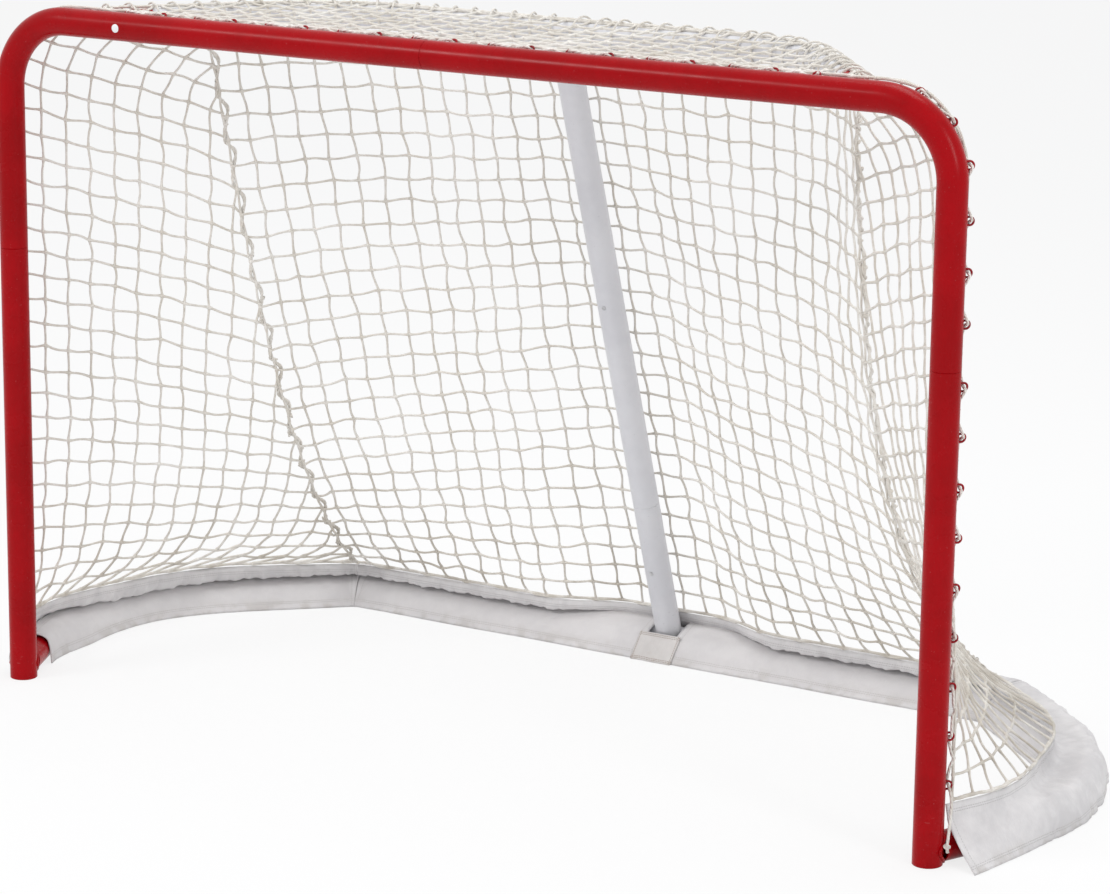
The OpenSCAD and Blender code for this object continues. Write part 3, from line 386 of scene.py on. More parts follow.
def spline(p, cuts):
    """Catmull-Rom curve through points, at the same cuts of every stretch."""
    p = np.asarray(p, float)
    a = np.vstack([2 * p[0] - p[1], p, 2 * p[-1] - p[-2]])
    t = np.asarray(cuts, float)[None, :, None]
    p0, p1, p2, p3 = (a[i : len(a) - 3 + i][:, None] for i in range(4))
    c = 0.5 * (
        2 * p1
        + (p2 - p0) * t
        + (2 * p0 - 5 * p1 + 4 * p2 - p3) * t**2
        + (3 * p1 - p0 - 3 * p2 + p3) * t**3
    )
    return np.vstack([c.reshape(-1, 3), p[-1:]])


def smooth_cuts(n):
    return np.arange(n) / n


TUBE_WALL, EDGE_BEVEL, BORE_SEEN, TUBE_SIDES = 2.4, 0.9, 25, 72


def fillet_pipe(name, pts, r, bevels, mirror):
    """Steel tube along a route, with bevelled open ends and its wall showing inside them."""
    p = np.asarray(pts, float)
    if mirror:
        p = p * FLIP
    tan = unit(np.gradient(p, axis=0))
    tan[0], tan[-1] = unit(p[1] - p[0]), unit(p[-1] - p[-2])
    a = carried(tan)
    b = np.cross(tan, a)
    inner, e = r - TUBE_WALL, len(p) - 1

    def end_rings(i, into):
        """Rings of one end from the bore outward: centre, axes index, radius."""
        h = bevels[0 if i == 0 else 1]
        rings = [(p[i] + into * BORE_SEEN, i, inner), (p[i], i, inner)]
        if not h:
            return rings + [(p[i], i, r)]
        return rings + [(p[i], i, r - h), (p[i] + into * h, i, r), (p[i] + into * (h + 0.4), i, r)]

    rings = end_rings(0, tan[0]) + [(p[i], i, r) for i in range(1, e)] + end_rings(e, -tan[e])[::-1]
    th = np.arange(TUBE_SIDES) * TURN / TUBE_SIDES
    c, s = np.cos(th)[:, None], np.sin(th)[:, None]
    v = np.concatenate([q + rad * (c * a[i] + s * b[i]) for q, i, rad in rings])
    quads = ring_quads(len(rings), TUBE_SIDES)[2]
    ob = new_mesh(name, v, quads, [], {})
    bm = bmesh.new()
    bm.from_mesh(ob.data)
    bmesh.ops.recalc_face_normals(bm, faces=bm.faces)
    for edge in bm.edges:
        if len(edge.link_faces) == 2 and edge.calc_face_angle(0) > math.radians(35):
            edge.smooth = False
    bm.to_mesh(ob.data)
    bm.free()
    return ob


def rng_for(k):
    return np.random.default_rng(9100 + k)


# ---- Materials


class Tree:
    """Short way to write a node tree, of a material or of the world."""

    def __init__(self, owner):
        owner.use_nodes = True
        self.t = owner.node_tree
        self.t.nodes.clear()

    def put(self, target, value):
        if isinstance(value, bpy.types.NodeSocket):
            self.t.links.new(value, target)
        else:
            target.default_value = (*value, 1) if target.type == "RGBA" else value

    def new(self, kind, inputs=(), **props):
        n = self.t.nodes.new("ShaderNode" + kind)
        for k, v in props.items():
            setattr(n, k, v)
        for k, v in dict(inputs).items():
            self.put(n.inputs[k], v)
        return n

    def math(self, op, a, b=0.0, clamp=False):
        return self.new("Math", {0: a, 1: b}, operation=op, use_clamp=clamp).outputs[0]

    def add(self, a, b):
        return self.math("ADD", a, b)

    def mul(self, a, b):
        return self.math("MULTIPLY", a, b)

    def sees_background(self):
        """1 for rays that see the background: camera, glossy and transmission rays."""
        rays = self.new("LightPath").outputs
        seen = self.add(rays["Is Camera Ray"], rays["Is Glossy Ray"])
        return self.math("ADD", seen, rays["Is Transmission Ray"], clamp=True)


class Surface(Tree):
    """A material's tree round one Principled shader."""

    def __init__(self, name):
        self.mat = bpy.data.materials.new(name)
        super().__init__(self.mat)
        self.bsdf = self.new("BsdfPrincipled")
        self.new("OutputMaterial", {0: self.bsdf.outputs[0]})

    def layer(self, name):
        return self.new("UVMap", uv_map=name).outputs[0]

    def coords(self, layer=None, scale=(1, 1, 1), rot=(0, 0, 0)):
        src = self.layer(layer) if layer else self.new("TexCoord").outputs["Object"]
        return self.new("Mapping", {"Vector": src, "Scale": scale, "Rotation": rot}).outputs[0]

    def noise(self, vec, scale, detail=3.0, rough=0.55, distort=0.0):
        inputs = {"Vector": vec, "Scale": scale, "Detail": detail, "Roughness": rough, "Distortion": distort}
        return self.new("TexNoise", inputs).outputs["Fac"]

    def ramp(self, fac, *stops):
        n = self.new("ValToRGB", {0: fac})
        for el, (pos, col) in zip(n.color_ramp.elements, stops):
            el.position, el.color = pos, (*col, 1)
        return n.outputs[0]

    def fade(self, x, lo, hi, a=0.0, b=1.0):
        inputs = {"Value": x, "From Min": lo, "From Max": hi, "To Min": a, "To Max": b}
        return self.new("MapRange", inputs, interpolation_type="SMOOTHSTEP").outputs[0]

    def blend(self, fac, a, b):
        return self.new("Mix", {0: fac, 6: a, 7: b}, data_type="RGBA").outputs[2]

    def split(self, vec):
        return self.new("SeparateXYZ", {0: vec}).outputs

    def bump(self, height, strength, distance, under=None):
        inputs = {"Height": height, "Strength": strength, "Distance": distance}
        if under is not None:
            inputs["Normal"] = under
        return self.new("Bump", inputs).outputs[0]

    def done(self, **sockets):
        for k, v in sockets.items():
            self.put(self.bsdf.inputs[k.replace("_", " ")], v)
        return self.mat


def paint(name, light, dark, rough, gloss, grime, scratch_z):
    m = Surface(name)
    obj = m.coords()
    cloud = m.add(m.mul(m.noise(obj, 5.0, 4.0), 0.8), m.mul(m.noise(obj, 60.0, 3.0), 0.2))
    colour = m.blend(m.fade(cloud, 0.35, 0.65), light, dark)
    # Scuffs near the ice, and small rub marks everywhere
    low = m.fade(m.split(obj)[2], scratch_z, 0.0)
    long_scratch = m.noise(m.coords(scale=(60, 60, 420), rot=(0.5, 0.35, 0)), 1.0, 2.0, 0.5, 0.4)
    marks = m.mul(m.fade(long_scratch, 0.69, 0.73), low)
    speck = m.mul(m.fade(m.noise(obj, 260.0, 1.0), 0.74, 0.78), 0.35)
    rubbed = m.math("MAXIMUM", marks, speck, clamp=True)
    colour = m.blend(rubbed, colour, grime)
    r = m.fade(m.noise(obj, 22.0, 5.0), 0.3, 0.7, rough * 0.85, rough * 1.2)
    r = m.add(r, m.mul(rubbed, 0.25))
    peel = m.bump(m.noise(obj, 520.0, 2.0), 0.12, 0.00012)
    n = m.bump(m.noise(obj, 34.0, 2.0), 0.10, 0.0006, peel)
    return m.done(Base_Color=colour, Roughness=r, Normal=n, Specular_IOR_Level=gloss)


red = paint("red_enamel", (0.365, 0.0012, 0.0045), (0.29, 0.0009, 0.003), 0.26, 0.11, (0.42, 0.12, 0.12), 0.16)
white = paint("white_enamel", (0.68, 0.68, 0.705), (0.62, 0.62, 0.65), 0.40, 0.40, (0.34, 0.33, 0.33), 0.20)
# The wire hooks get a darker copy of the frame's red enamel: painted shade on the thin wires.
shaded_hook_red = paint("shaded_hook_enamel", (0.34, 0.003, 0.009), (0.20, 0.002, 0.006), 0.40, 0.2, (0.30, 0.16, 0.15), 2.0)


def metal(name, light, dark, rough):
    m = Surface(name)
    obj = m.coords()
    colour = m.ramp(m.noise(obj, 180.0, 4.0), (0.35, dark), (0.65, light))
    r = m.fade(m.noise(obj, 400.0, 2.0), 0.3, 0.7, rough * 0.8, rough * 1.3)
    n = m.bump(m.noise(obj, 900.0, 2.0), 0.2, 0.0001)
    return m.done(Base_Color=colour, Roughness=r, Normal=n, Metallic=1.0)


steel = metal("zinc_steel", (0.62, 0.62, 0.63), (0.42, 0.42, 0.43), 0.34)


def plastic(name, light, dark, rough):
    m = Surface(name)
    obj = m.coords()
    colour = m.ramp(m.noise(obj, 90.0, 4.0), (0.35, dark), (0.7, light))
    r = m.fade(m.noise(obj, 300.0, 2.0), 0.3, 0.7, rough * 0.85, rough * 1.15)
    n = m.bump(m.noise(obj, 700.0, 3.0), 0.25, 0.0001)
    return m.done(Base_Color=colour, Roughness=r, Normal=n)


black = plastic("foot_rubber", (0.035, 0.035, 0.037), (0.02, 0.02, 0.021), 0.6)
plug_white = plastic("plug_plastic", (0.84, 0.85, 0.86), (0.78, 0.79, 0.8), 0.35)


def cord_material(name, light, dark, bottom_tone, pitch, plies, bump):
    """Braided or laid twine: u runs along it in metres, v once round it."""
    m = Surface(name)
    u, v, _ = m.split(m.layer("rope"))
    turn = m.mul(v, TURN * plies)
    run = m.mul(u, TURN / pitch)
    braid = m.math("SINE", m.add(run, turn))
    if plies > 3:
        braid = m.mul(braid, m.math("SINE", m.math("SUBTRACT", run, turn)))
    obj = m.coords()
    blotch = m.noise(obj, 9.0, 4.0)
    mott = m.noise(obj, 75.0, 3.0)
    fibre = m.noise(m.coords("rope", scale=(900, 24, 1)), 1.0, 2.0)
    f = m.add(m.add(m.mul(blotch, 0.45), m.mul(mott, 0.4)), m.mul(fibre, 0.15))
    colour = m.blend(m.fade(f, 0.36, 0.66), dark, light)
    # The braid's grooves are darkened toward the dark tone: painted shade between the plies.
    colour = m.blend(m.mul(m.fade(braid, 0.1, -0.9), 0.45), colour, dark)
    # Dirt gathers in the netting near the ice
    # Darker and browner in blotches towards the bottom of the netting
    near = m.mul(m.fade(m.split(obj)[2], 0.42, 0.10), m.fade(m.noise(obj, 14.0, 3.0), 0.38, 0.62))
    colour = m.blend(m.mul(near, 0.55), colour, bottom_tone)
    n = m.bump(braid, bump, 0.0006, m.bump(fibre, 0.3, 0.0002))
    r = m.fade(mott, 0.3, 0.7, 0.78, 0.95)
    return m.done(Base_Color=colour, Roughness=r, Normal=n, Sheen_Weight=0.25, Sheen_Roughness=0.5)


twine = cord_material("net_twine", (0.90, 0.875, 0.83), (0.68, 0.635, 0.56), (0.42, 0.37, 0.30), 0.006, 4, 0.6)
lace_cord = cord_material("lacing_rope", (0.92, 0.90, 0.87), (0.70, 0.66, 0.60), (0.50, 0.45, 0.38), 0.009, 3, 0.7)


def canvas_material(name, light, dark, thread, bottom_tone, edge_line):
    """Woven canvas: layer cloth is in metres, layer hem gives the distances to the hems."""
    m = Surface(name)
    u, v, _ = m.split(m.layer("cloth"))
    hem, end, _ = m.split(m.layer("hem"))
    k = TURN / 0.0011
    weave = m.mul(m.math("SINE", m.mul(u, k)), m.math("SINE", m.mul(v, k)))
    obj = m.coords()
    blotch = m.noise(obj, 7.0, 5.0, 0.6)
    mott = m.noise(obj, 45.0, 4.0)
    slub = m.noise(m.coords("cloth", scale=(900, 70, 1)), 1.0, 2.0)
    f = m.add(m.add(m.mul(blotch, 0.6), m.mul(mott, 0.25)), m.mul(slub, 0.15))
    colour = m.blend(m.fade(f, 0.36, 0.64), dark, light)
    # The weave's low points between the threads are darkened toward the dark tone: painted shade.
    colour = m.blend(m.mul(m.fade(weave, 0.2, -0.9), 0.16), colour, dark)
    scuff = m.mul(m.fade(m.split(obj)[2], 0.03, 0.0), m.fade(m.noise(obj, 28.0, 4.0), 0.42, 0.62))
    colour = m.blend(m.mul(scuff, 0.5), colour, bottom_tone)
    # Two rows of stitches inside each long hem, one inside each end
    dash = m.fade(m.math("SINE", m.mul(m.add(u, v), TURN / 0.0052)), -0.55, -0.25)

    def row(edge, d):
        return m.fade(m.math("ABSOLUTE", m.math("SUBTRACT", edge, d)), 0.00085, 0.00045)

    rows = m.math("MAXIMUM", row(hem, edge_line[0]), row(hem, edge_line[1]))
    rows = m.math("MAXIMUM", rows, row(end, edge_line[0]))
    stitch = m.mul(rows, dash)
    colour = m.blend(m.mul(stitch, 0.8), colour, thread)
    soft = m.noise(m.coords("cloth", scale=(1, 1.6, 1)), 55.0, 4.0, 0.55, 0.6)
    n = m.bump(soft, 0.5, 0.0016, m.bump(weave, 0.35, 0.00022))
    n = m.bump(m.math("SUBTRACT", m.mul(stitch, 0.8), rows), 0.8, 0.0007, n)
    r = m.fade(mott, 0.3, 0.7, 0.72, 0.9)
    return m.done(Base_Color=colour, Roughness=r, Normal=n, Sheen_Weight=0.15)


canvas = canvas_material(
    "skirt_canvas", (0.73, 0.712, 0.713), (0.65, 0.632, 0.637), (0.52, 0.50, 0.48), (0.46, 0.43, 0.40), (0.013, 0.017)
)
wall_canvas = canvas_material(
    "wall_canvas", (0.76, 0.742, 0.742), (0.60, 0.585, 0.59), (0.46, 0.45, 0.44), (0.42, 0.39, 0.36), (0.011, 0.015)
)
patch_canvas = canvas_material(
    "patch_canvas", (0.74, 0.715, 0.70), (0.64, 0.615, 0.60), (0.24, 0.15, 0.10), (0.44, 0.38, 0.33), (0.003, 0.0065)
)

# ---- The lacing's free end, a cord

TAIL = [
    [966.8, -405.3, 127.8], [969.7, -408.2, 124.2], [972.1, -410.6, 119.6], [973.9, -412.4, 114.5],
    [975, -413.5, 108.9], [975.4, -413.9, 103.7], [975.5, -414.8, 97], [975.5, -415.7, 90],
    [975.5, -416.7, 83], [975.4, -417.7, 76], [975.3, -418.7, 69], [975.2, -419.7, 62],
    [975.1, -420.8, 55], [975, -421.9, 48], [974.9, -422.9, 42],
]
tail_pts = np.array(TAIL) + [0, CENTRE_Y, 0]
tail_line = spline(tail_pts, smooth_cuts(4))
tail_tubes = Tubes(12)
tail_tubes.add(tail_line, CORD_R)
tail = place(tail_tubes.build("lacing_free_end"), lace_cord, "lacing_rope", "lacing_tail")

# Overhand knot at its end
knot_c = vec(974.8, CENTRE_Y - 424.0, 36.0)
th = np.linspace(0, TURN, 60)
size = 1.44
knot_path = knot_c + np.stack(
    [size * (np.sin(th) + 2 * np.sin(2 * th)), 1.6 * np.sin(3 * th), size * (np.cos(th) - 2 * np.cos(2 * th))], 1
)
knot_tubes = Tubes(10)
knot_tubes.add(knot_path, 2.3, caps=False)
core = np.array([[0, 0, 7], [0.3, 0, 3], [0, 0, 0], [0.4, 0.5, -5], [0.9, 0.9, -9.5]])
knot_tubes.add(knot_c + core, [2.5, 2.6, 2.6, 2.4, 2.9])
knot = place(knot_tubes.build("free_end_knot"), lace_cord, "lacing_rope", "tail_knot")

# ---- Steel frame


def corner_route(x0):
    pts = [[x0, 0, BAR_Z], [BEND_X - 2, 0, BAR_Z]]
    for t in np.linspace(0, 90, 46):
        pts.append([BEND_X + CORNER_R * sind(t), 0, BEND_Z + CORNER_R * cosd(t)])
    pts += [[POST_X, 0, BEND_Z - 2], [POST_X, 0, JOINT_Z]]
    return pts


def route(at, s0, s1, bends, z):
    """Points along a bent tube's axis: its ends, and close together in its bends."""
    ss = {s0, s1} | {s for a, b in bends for s in np.linspace(a, b, 40) if s0 < s < s1}
    return [at(s, 0, z) for s in sorted(ss)]


def on_support(d):
    return FOOT + SUPPORT_AXIS * d


OPEN, WELDED = (EDGE_BEVEL, EDGE_BEVEL), (0, EDGE_BEVEL)


def pipe(name, node, pts, r, mat, bevels=OPEN, mirror=False):
    slot = "frame_red" if mat is red else "tube_white"
    place(fillet_pipe(name, pts, r, bevels, mirror), mat, slot, node)


SIDE_BEND_END = BASE_STUB + seg_len(BASE_BENDS[1])
BASE_CURVES = [(BASE_STUB, SIDE_BEND_END), (SIDE_BEND_END + TAIL_LEN, run_len(BASE_BENDS))]
SHELF_CURVES = [(SHELF_RUN[0][1], SHELF_RUN[0][1] + seg_len(SHELF_RUN[1]))]

for side, flip in (("left", True), ("right", False)):
    joint_x = -BAR_JOINT_X if flip else BAR_JOINT_X
    shelf_bow = route(shelf_at, SHELF_STUB, SHELF_MIDDLE - SHELF_TEE, SHELF_CURVES, BAR_Z)
    base_bow = route(base_at, BASE_STUB, MIDDLE - REAR_HALF, BASE_CURVES, BASE_R)
    for name, node, pts, r, mat, bevels in (
        ("corner_pipe", "corner_tube", corner_route(joint_x), FRAME_R, red, OPEN),
        ("lower_pipe", "lower_post", [[POST_X, 0, z] for z in (JOINT_Z, 400, 0)], FRAME_R, red, OPEN),
        ("shelf_root", "shelf_stub", [shelf_at(s, 0, BAR_Z) for s in (12, 70, SHELF_STUB)], SHELF_R, red, WELDED),
        ("shelf_bow", "shelf_tube", shelf_bow, SHELF_R, white, OPEN),
        ("base_root", "base_stub", [base_at(s, 0, BASE_R) for s in (23.8, 70, BASE_STUB)], BASE_R, red, WELDED),
        ("base_bow", "base_tube", base_bow, BASE_R, white, OPEN),
    ):
        pipe(f"{side}_{name}", f"{side}_{node}", pts, r, mat, bevels, flip)
pipe("rear_base_pipe", "rear_base_tube", [[x, BASE_Y, BASE_R] for x in (-REAR_HALF, 0, REAR_HALF)], BASE_R, white)
upper = [on_support(d) for d in (SUPPORT_JOINT, 800, SUPPORT_LEN - 8)]
pipe("upper_support_pipe", "upper_support", upper, SUPPORT_R, white)
lower = [on_support(d) for d in (4, 160, SUPPORT_JOINT)]
pipe("lower_support_pipe", "lower_support", lower, SUPPORT_R, white, WELDED)


def weld_bead(name, c, main_r, stub_r, direction, main_axis):
    """Rippled bead where a stub leaves a round tube; direction is the stub's own."""
    d, m = unit(direction), unit(main_axis)
    e1 = unit(m - d * np.dot(m, d))
    e2 = np.cross(d, e1)
    pts, rad = [], []
    for k, a in enumerate(np.linspace(0, TURN, 145)):
        o = stub_r * (math.cos(a) * e1 + math.sin(a) * e2)
        # Along d until the distance from the main tube's axis is its radius
        w = o - m * np.dot(o, m)
        dd = d - m * np.dot(d, m)
        qa, qb, qc = np.dot(dd, dd), 2 * np.dot(w, dd), np.dot(w, w) - main_r**2
        t = (-qb + math.sqrt(max(0.0, qb * qb - 4 * qa * qc))) / (2 * qa)
        q = np.asarray(c, float) + o * 1.02 + d * (t + 0.6)
        q[2] = max(q[2], 3.2)
        pts.append(q)
        rad.append(2.6 + 0.35 * math.sin(k * 1.35))
    tube = Tubes(8)
    tube.add(pts, rad, caps=False)
    place(tube.build(name), red, "frame_red")


for side, f in (("left", -1), ("right", 1)):
    sd = [f * sind(-SHELF_ANGLE), cosd(SHELF_ANGLE), 0]
    weld_bead(f"{side}_shelf_weld", [f * SHELF_X, 0, BAR_Z], FRAME_R, SHELF_R, sd, [1, 0, 0])
    bd = [f * sind(BASE_ANGLE), cosd(BASE_ANGLE), 0]
    weld_bead(f"{side}_base_weld", [f * POST_X, 0, BASE_R + 0.01], FRAME_R, BASE_R - 0.1, bd, [0, 0, 1])

# Wire hooks with their weld toes
BAR_XS = [HOOK_STEP * i for i in range(0, 10)]
BENDS = [22, 50, 78]
UPPER_ZS = [812 + POST_HOOK_STEP * i for i in (1, 2, 3)]
HOOK_ZS = [794 - POST_HOOK_STEP * i for i in range(9)]
HOOK_HALF, HOOK_OUT = 6.6, 30.4


def hook_frame(kind, value):
    """Axis point, outward direction, direction along the tube."""
    if kind == "bar":
        return vec(value, 0, BAR_Z), vec(0, 0, 1.0), vec(1.0, 0, 0)
    if kind == "bend":
        s, c = sind(value), cosd(value)
        return vec(BEND_X + CORNER_R * s, 0, BEND_Z + CORNER_R * c), vec(s, 0, c), vec(c, 0, -s)
    return vec(POST_X, 0, value), vec(1.0, 0, 0), vec(0, 0, -1.0)


def hook_line(kind, value, rng):
    k, o, a = hook_frame(kind, value)
    up = (o + [0, 1, 0]) / math.sqrt(2)
    lean = rng.normal(0, 0.35)
    legs = [[k + sign * HOOK_HALF * a + up * h for h in (22.5, 27, HOOK_OUT)] for sign in (-1, 1)]
    arc = []
    for t in np.linspace(180, 0, 13)[1:-1]:
        c, s = cosd(t), sind(t)
        arc.append(k + a * (HOOK_HALF * c + lean * s) + up * (HOOK_OUT + HOOK_HALF * s))
    feet = [k - HOOK_HALF * a + up * 25.2, k + HOOK_HALF * a + up * 25.2]
    return legs[0] + arc + legs[1][::-1], feet, up


def hook_piece(name, specs, node, flip, seed):
    rng = rng_for(seed)
    tubes = Tubes(10)
    for kind, value in specs:
        pts, feet, up = hook_line(kind, value, rng)
        tubes.add(pts, 1.9, mirror=flip)
        for q in feet:
            w = rng.normal(0, 0.2, 3)
            tubes.add([q - up * 1.2 + w, q + w, q + up * 1.3 + w, q + up * 2.4], [3.1, 3.5, 2.9, 1.8], mirror=flip)
    place(tubes.build(name), shaded_hook_red, "frame_red", node)


for side, flip, first, seed in (("left", True, 1, 1), ("right", False, 0, 2)):
    specs = [("bar", x) for x in BAR_XS[first:]] + [("bend", t) for t in BENDS] + [("post", z) for z in UPPER_ZS]
    hook_piece(f"{side}_upper_wire_hooks", specs, f"{side}_corner_hooks", flip, seed)
    hook_piece(f"{side}_lower_wire_hooks", [("post", z) for z in HOOK_ZS], f"{side}_post_hooks", flip, seed + 10)

for mat, names in (
    (steel, ("frame_screws", "shelf_screws", "base_screws", "support_rivets")),
    (plug_white, ("crossbar_plug",)),
    (black, ("left_foot_plug", "right_foot_plug")),
    (white, ("shelf_tee", "support_socket")),
):
    for name in names:
        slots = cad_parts[name].data.materials
        slots.clear()
        slots.append(mat)

# ---- Netting

CUTS = [0, 0.07, 0.17, 0.34, 0.5, 0.66, 0.83, 0.93]
KNOT = np.array([1.42, 1.30, 1.02, 0.97, 0.95, 0.97, 1.02, 1.30])
SLACK = np.array([0, 0.05, 0.3, 0.85, 1.0, 0.85, 0.3, 0.05])
TWINE_R, TWINE_STEP, BORDER_R, FOOT_CORD_R = 2.35, 1.5, 2.9, 2.7
ROWS = 28
NET_WAVES = ((4.5, 3.0), (2.4, 7.5), (1.3, 16.0), (0.9, 38.0))  # size in mm, spread of waves per metre


class Wander:
    """Soft random wander of a net, the same for neighbouring points, in mm."""

    def __init__(self, seed, scale=1.0):
        r = rng_for(seed)
        self.waves = [(amp * scale, r.normal(0, f, (3, 3)), r.uniform(0, 6.28, 3)) for amp, f in NET_WAVES]

    def __call__(self, p):
        q = np.asarray(p, float) / 1000
        return sum(amp * np.sin(q @ k.T + ph) for amp, k, ph in self.waves)


def over(i, j):
    """Step of a twine over or under the next one, in turn."""
    return TWINE_STEP if (i + j) % 2 else -TWINE_STEP


def hump(t):
    """0 at both ends of 0 to 1, and 1 in the middle."""
    return math.sin(math.pi * min(1, max(0, t)))


def strand(tubes, nodes, ref, flip, rng):
    """One twine through its crossings, bulging at each knot and slack between them."""
    nodes = np.asarray(nodes, float)
    if len(nodes) < 2:
        return
    pts = spline(nodes, CUTS)
    n = len(CUTS)
    rad = np.tile(KNOT, len(nodes) - 1)
    rad = np.append(rad, rad[0]) * TWINE_R
    for i in range(len(nodes) - 1):
        d = rng.normal(0, 1.0, 3)
        d[2] -= 0.5
        pts[i * n : (i + 1) * n] += SLACK[:, None] * d
    tubes.add(pts, rad, ref=ref, mirror=flip)


def side_net(side, flip, seed):
    rng = rng_for(seed)
    wander = Wander(seed + 50)
    us = np.linspace(0, 1, 25)
    vs = [row_v(j / ROWS) for j in range(ROWS + 1)]

    def point(u, v):
        p = side_point(u, v)
        return p + hump(u) ** 0.7 * hump(v) ** 0.6 * (wander(p) + [0, 0, 14.0])

    # Distance from the front edge along each row
    width = [run_lengths([side_point(u, v) for u in us]) for v in vs]

    def u_at(j, d):
        """Share of the row at distance d from the front edge; j may lie between rows."""
        i = min(ROWS - 1, int(j))
        w = width[i] * (1 - (j - i)) + width[i + 1] * (j - i)
        return float(np.interp(d, w, us)), w[-1]

    normal = unit([1.0, 0.45, 0.25])
    grid, last = {}, {}
    count = int(width[0][-1] / CELL) + 1
    for j in range(ROWS + 1):
        for a in range(0, count + 1):
            u, w = u_at(j, a * CELL)
            if a * CELL > w - 9:
                break
            p = point(u, vs[j])
            if 0 < j < ROWS and a > 0:
                p = p + rng.normal(0, 1.0, 3)
            grid[a, j] = p
            last[j] = a
    tubes = Tubes(6)
    for j in range(0, ROWS + 1):
        row = [grid[a, j] + [0, 0, over(a, j)] - normal * 0.7 for a in range(last[j] + 1)]
        row.append(seam(vs[j]) + rng.normal(0, 1.2, 3))
        strand(tubes, row, normal, flip, rng)
    step_dir = unit(vec(-0.3, 1, 0))
    for a in range(0, count + 1):
        js = [j for j in range(ROWS + 1) if (a, j) in grid]
        if not js:
            continue
        col = [grid[a, j] + step_dir * over(a, j) + normal * 0.7 for j in js]
        top = max(js)
        if top < ROWS:
            # Ends on the seam, between this row and the next
            lo, hi = float(top), float(top + 1)
            for _ in range(20):
                m = (lo + hi) / 2
                if u_at(m, a * CELL)[1] > a * CELL:
                    lo = m
                else:
                    hi = m
            end = seam(min(1, mix(vs[top], vs[top + 1], lo - top)))
            if np.linalg.norm(end - col[-1]) > 8:
                col.append(end)
        strand(tubes, col, normal, flip, rng)
    front = [front_edge(v) + rng.normal(0, 0.5, 3) for v in np.linspace(0, 1, 70)]
    tubes.add(spline(front, smooth_cuts(3)), BORDER_R, ref=[0, 1, 0], mirror=flip)
    foot = [net_foot(s) + rng.normal(0, 0.5, 3) for s in np.linspace(FOOT_S, SIDE_END, 60)]
    tubes.add(spline(foot, smooth_cuts(3)), FOOT_CORD_R, ref=[0, 0, 1], mirror=flip)
    place(tubes.build(f"{side}_side_netting"), twine, "net_twine", f"{side}_side_net")


side_net("left", True, 21)
side_net("right", False, 22)


def back_net():
    rng = rng_for(23)
    wander = Wander(73)
    cols = 31
    tubes = Tubes(6)
    normal = vec(0.05, 0.93, 0.35)

    def point(u, v):
        k = abs(2 * u - 1)
        rise = 8 * math.sin(math.pi * v) - 14 * k**2 * math.sin(math.pi * v)
        side = hump(u) ** 0.5 if 0 < u < 1 else 0
        p = back_point(u, v)
        # The net leans on the support in the middle and hangs a little hollow beside it
        return p + hump(v) ** 0.6 * side * wander(p) * min(1.0, 0.25 + 3 * k) + [0, 0, rise]

    grid = np.array([[point(i / cols, row_v(j / ROWS)) for j in range(ROWS + 1)] for i in range(cols + 1)])
    grid[1:-1, 1:-1] += rng.normal(0, 1.1, grid[1:-1, 1:-1].shape)
    for j in range(ROWS + 1):
        row = [grid[i, j] + [0, 0, over(i, j)] - unit(normal) * 0.7 for i in range(cols + 1)]
        strand(tubes, row, normal, False, rng)
    for i in range(cols + 1):
        col = [grid[i, j] + [over(i, j), 0, 0] + unit(normal) * 0.7 for j in range(ROWS + 1)]
        # Over the shelf tube to the border cord above it
        u = i / cols
        f = vec(-1 if u < 0.5 else 1, 1, 1)
        col.append(shelf_at(mix(SHELF_MIDDLE, SEAM_S, abs(2 * u - 1)), 18.5, BAR_Z + 17) * f)
        strand(tubes, col, normal, False, rng)
    foot = [net_foot(s) for s in np.linspace(SIDE_END, MIDDLE, 50)]
    line = [p * FLIP for p in foot] + foot[::-1][1:]
    tubes.add(spline(line, smooth_cuts(3)), FOOT_CORD_R, ref=[0, 0, 1])
    place(tubes.build("back_netting"), twine, "net_twine", "back_net")


back_net()


def top_net():
    rng = rng_for(24)
    wander = Wander(74, 0.6)
    tubes = Tubes(6)
    z0 = BAR_Z + EDGE_OUT
    up = vec(0.02, 0.03, 1.0)
    xs = np.arange(-16, 17) * 46.5
    ys = EDGE_BACK + np.arange(0, 9) * CELL

    def point(x, y):
        d = shelf_depth(abs(x))
        p = vec(x, y, z0)
        return p + hump((y - EDGE_BACK) / max(1, d - EDGE_BACK)) ** 0.7 * (wander(p) + [0, 0, -7.0])

    for k, x in enumerate(xs):
        d = shelf_depth(abs(x))
        col = [point(x, y) + [over(k, j), 0, 0.7] for j, y in enumerate(ys) if y < d - 10]
        strand(tubes, col + [[x, d, z0]], up, False, rng)
    for j, y in enumerate(ys):
        pts, reach = [], 0
        for k, x in enumerate(xs):
            d = shelf_depth(abs(x))
            if d > y - 2:
                pts.append(point(x, min(y, d)) + [0, over(k, j), -0.7])
                reach = abs(x)
        if len(pts) < 2:
            continue
        # Out to the shelf tube on both sides
        if y < SHELF_Y - 4:
            if y < shelf_depth(BOW_X1):
                lim = SHELF_X - y * tand(SHELF_ANGLE)
            else:
                lim = BOW_X0 + math.sqrt(max(0, SHELF_BEND_R**2 - (y - SHELF_Y + SHELF_BEND_R) ** 2))
            if lim - reach > 8:
                pts = [[-lim, y, z0]] + pts + [[lim, y, z0]]
        strand(tubes, pts, up, False, rng)
    front = np.array([[x, EDGE_BACK, z0] for x in np.linspace(-790, 790, 90)])
    tubes.add(spline(front + rng.normal(0, 0.5, (90, 3)), smooth_cuts(2)), BORDER_R, ref=up)
    place(tubes.build("top_netting"), twine, "net_twine", "top_net")


top_net()

# ---- Seam cords: two strands worked round each other down the seam


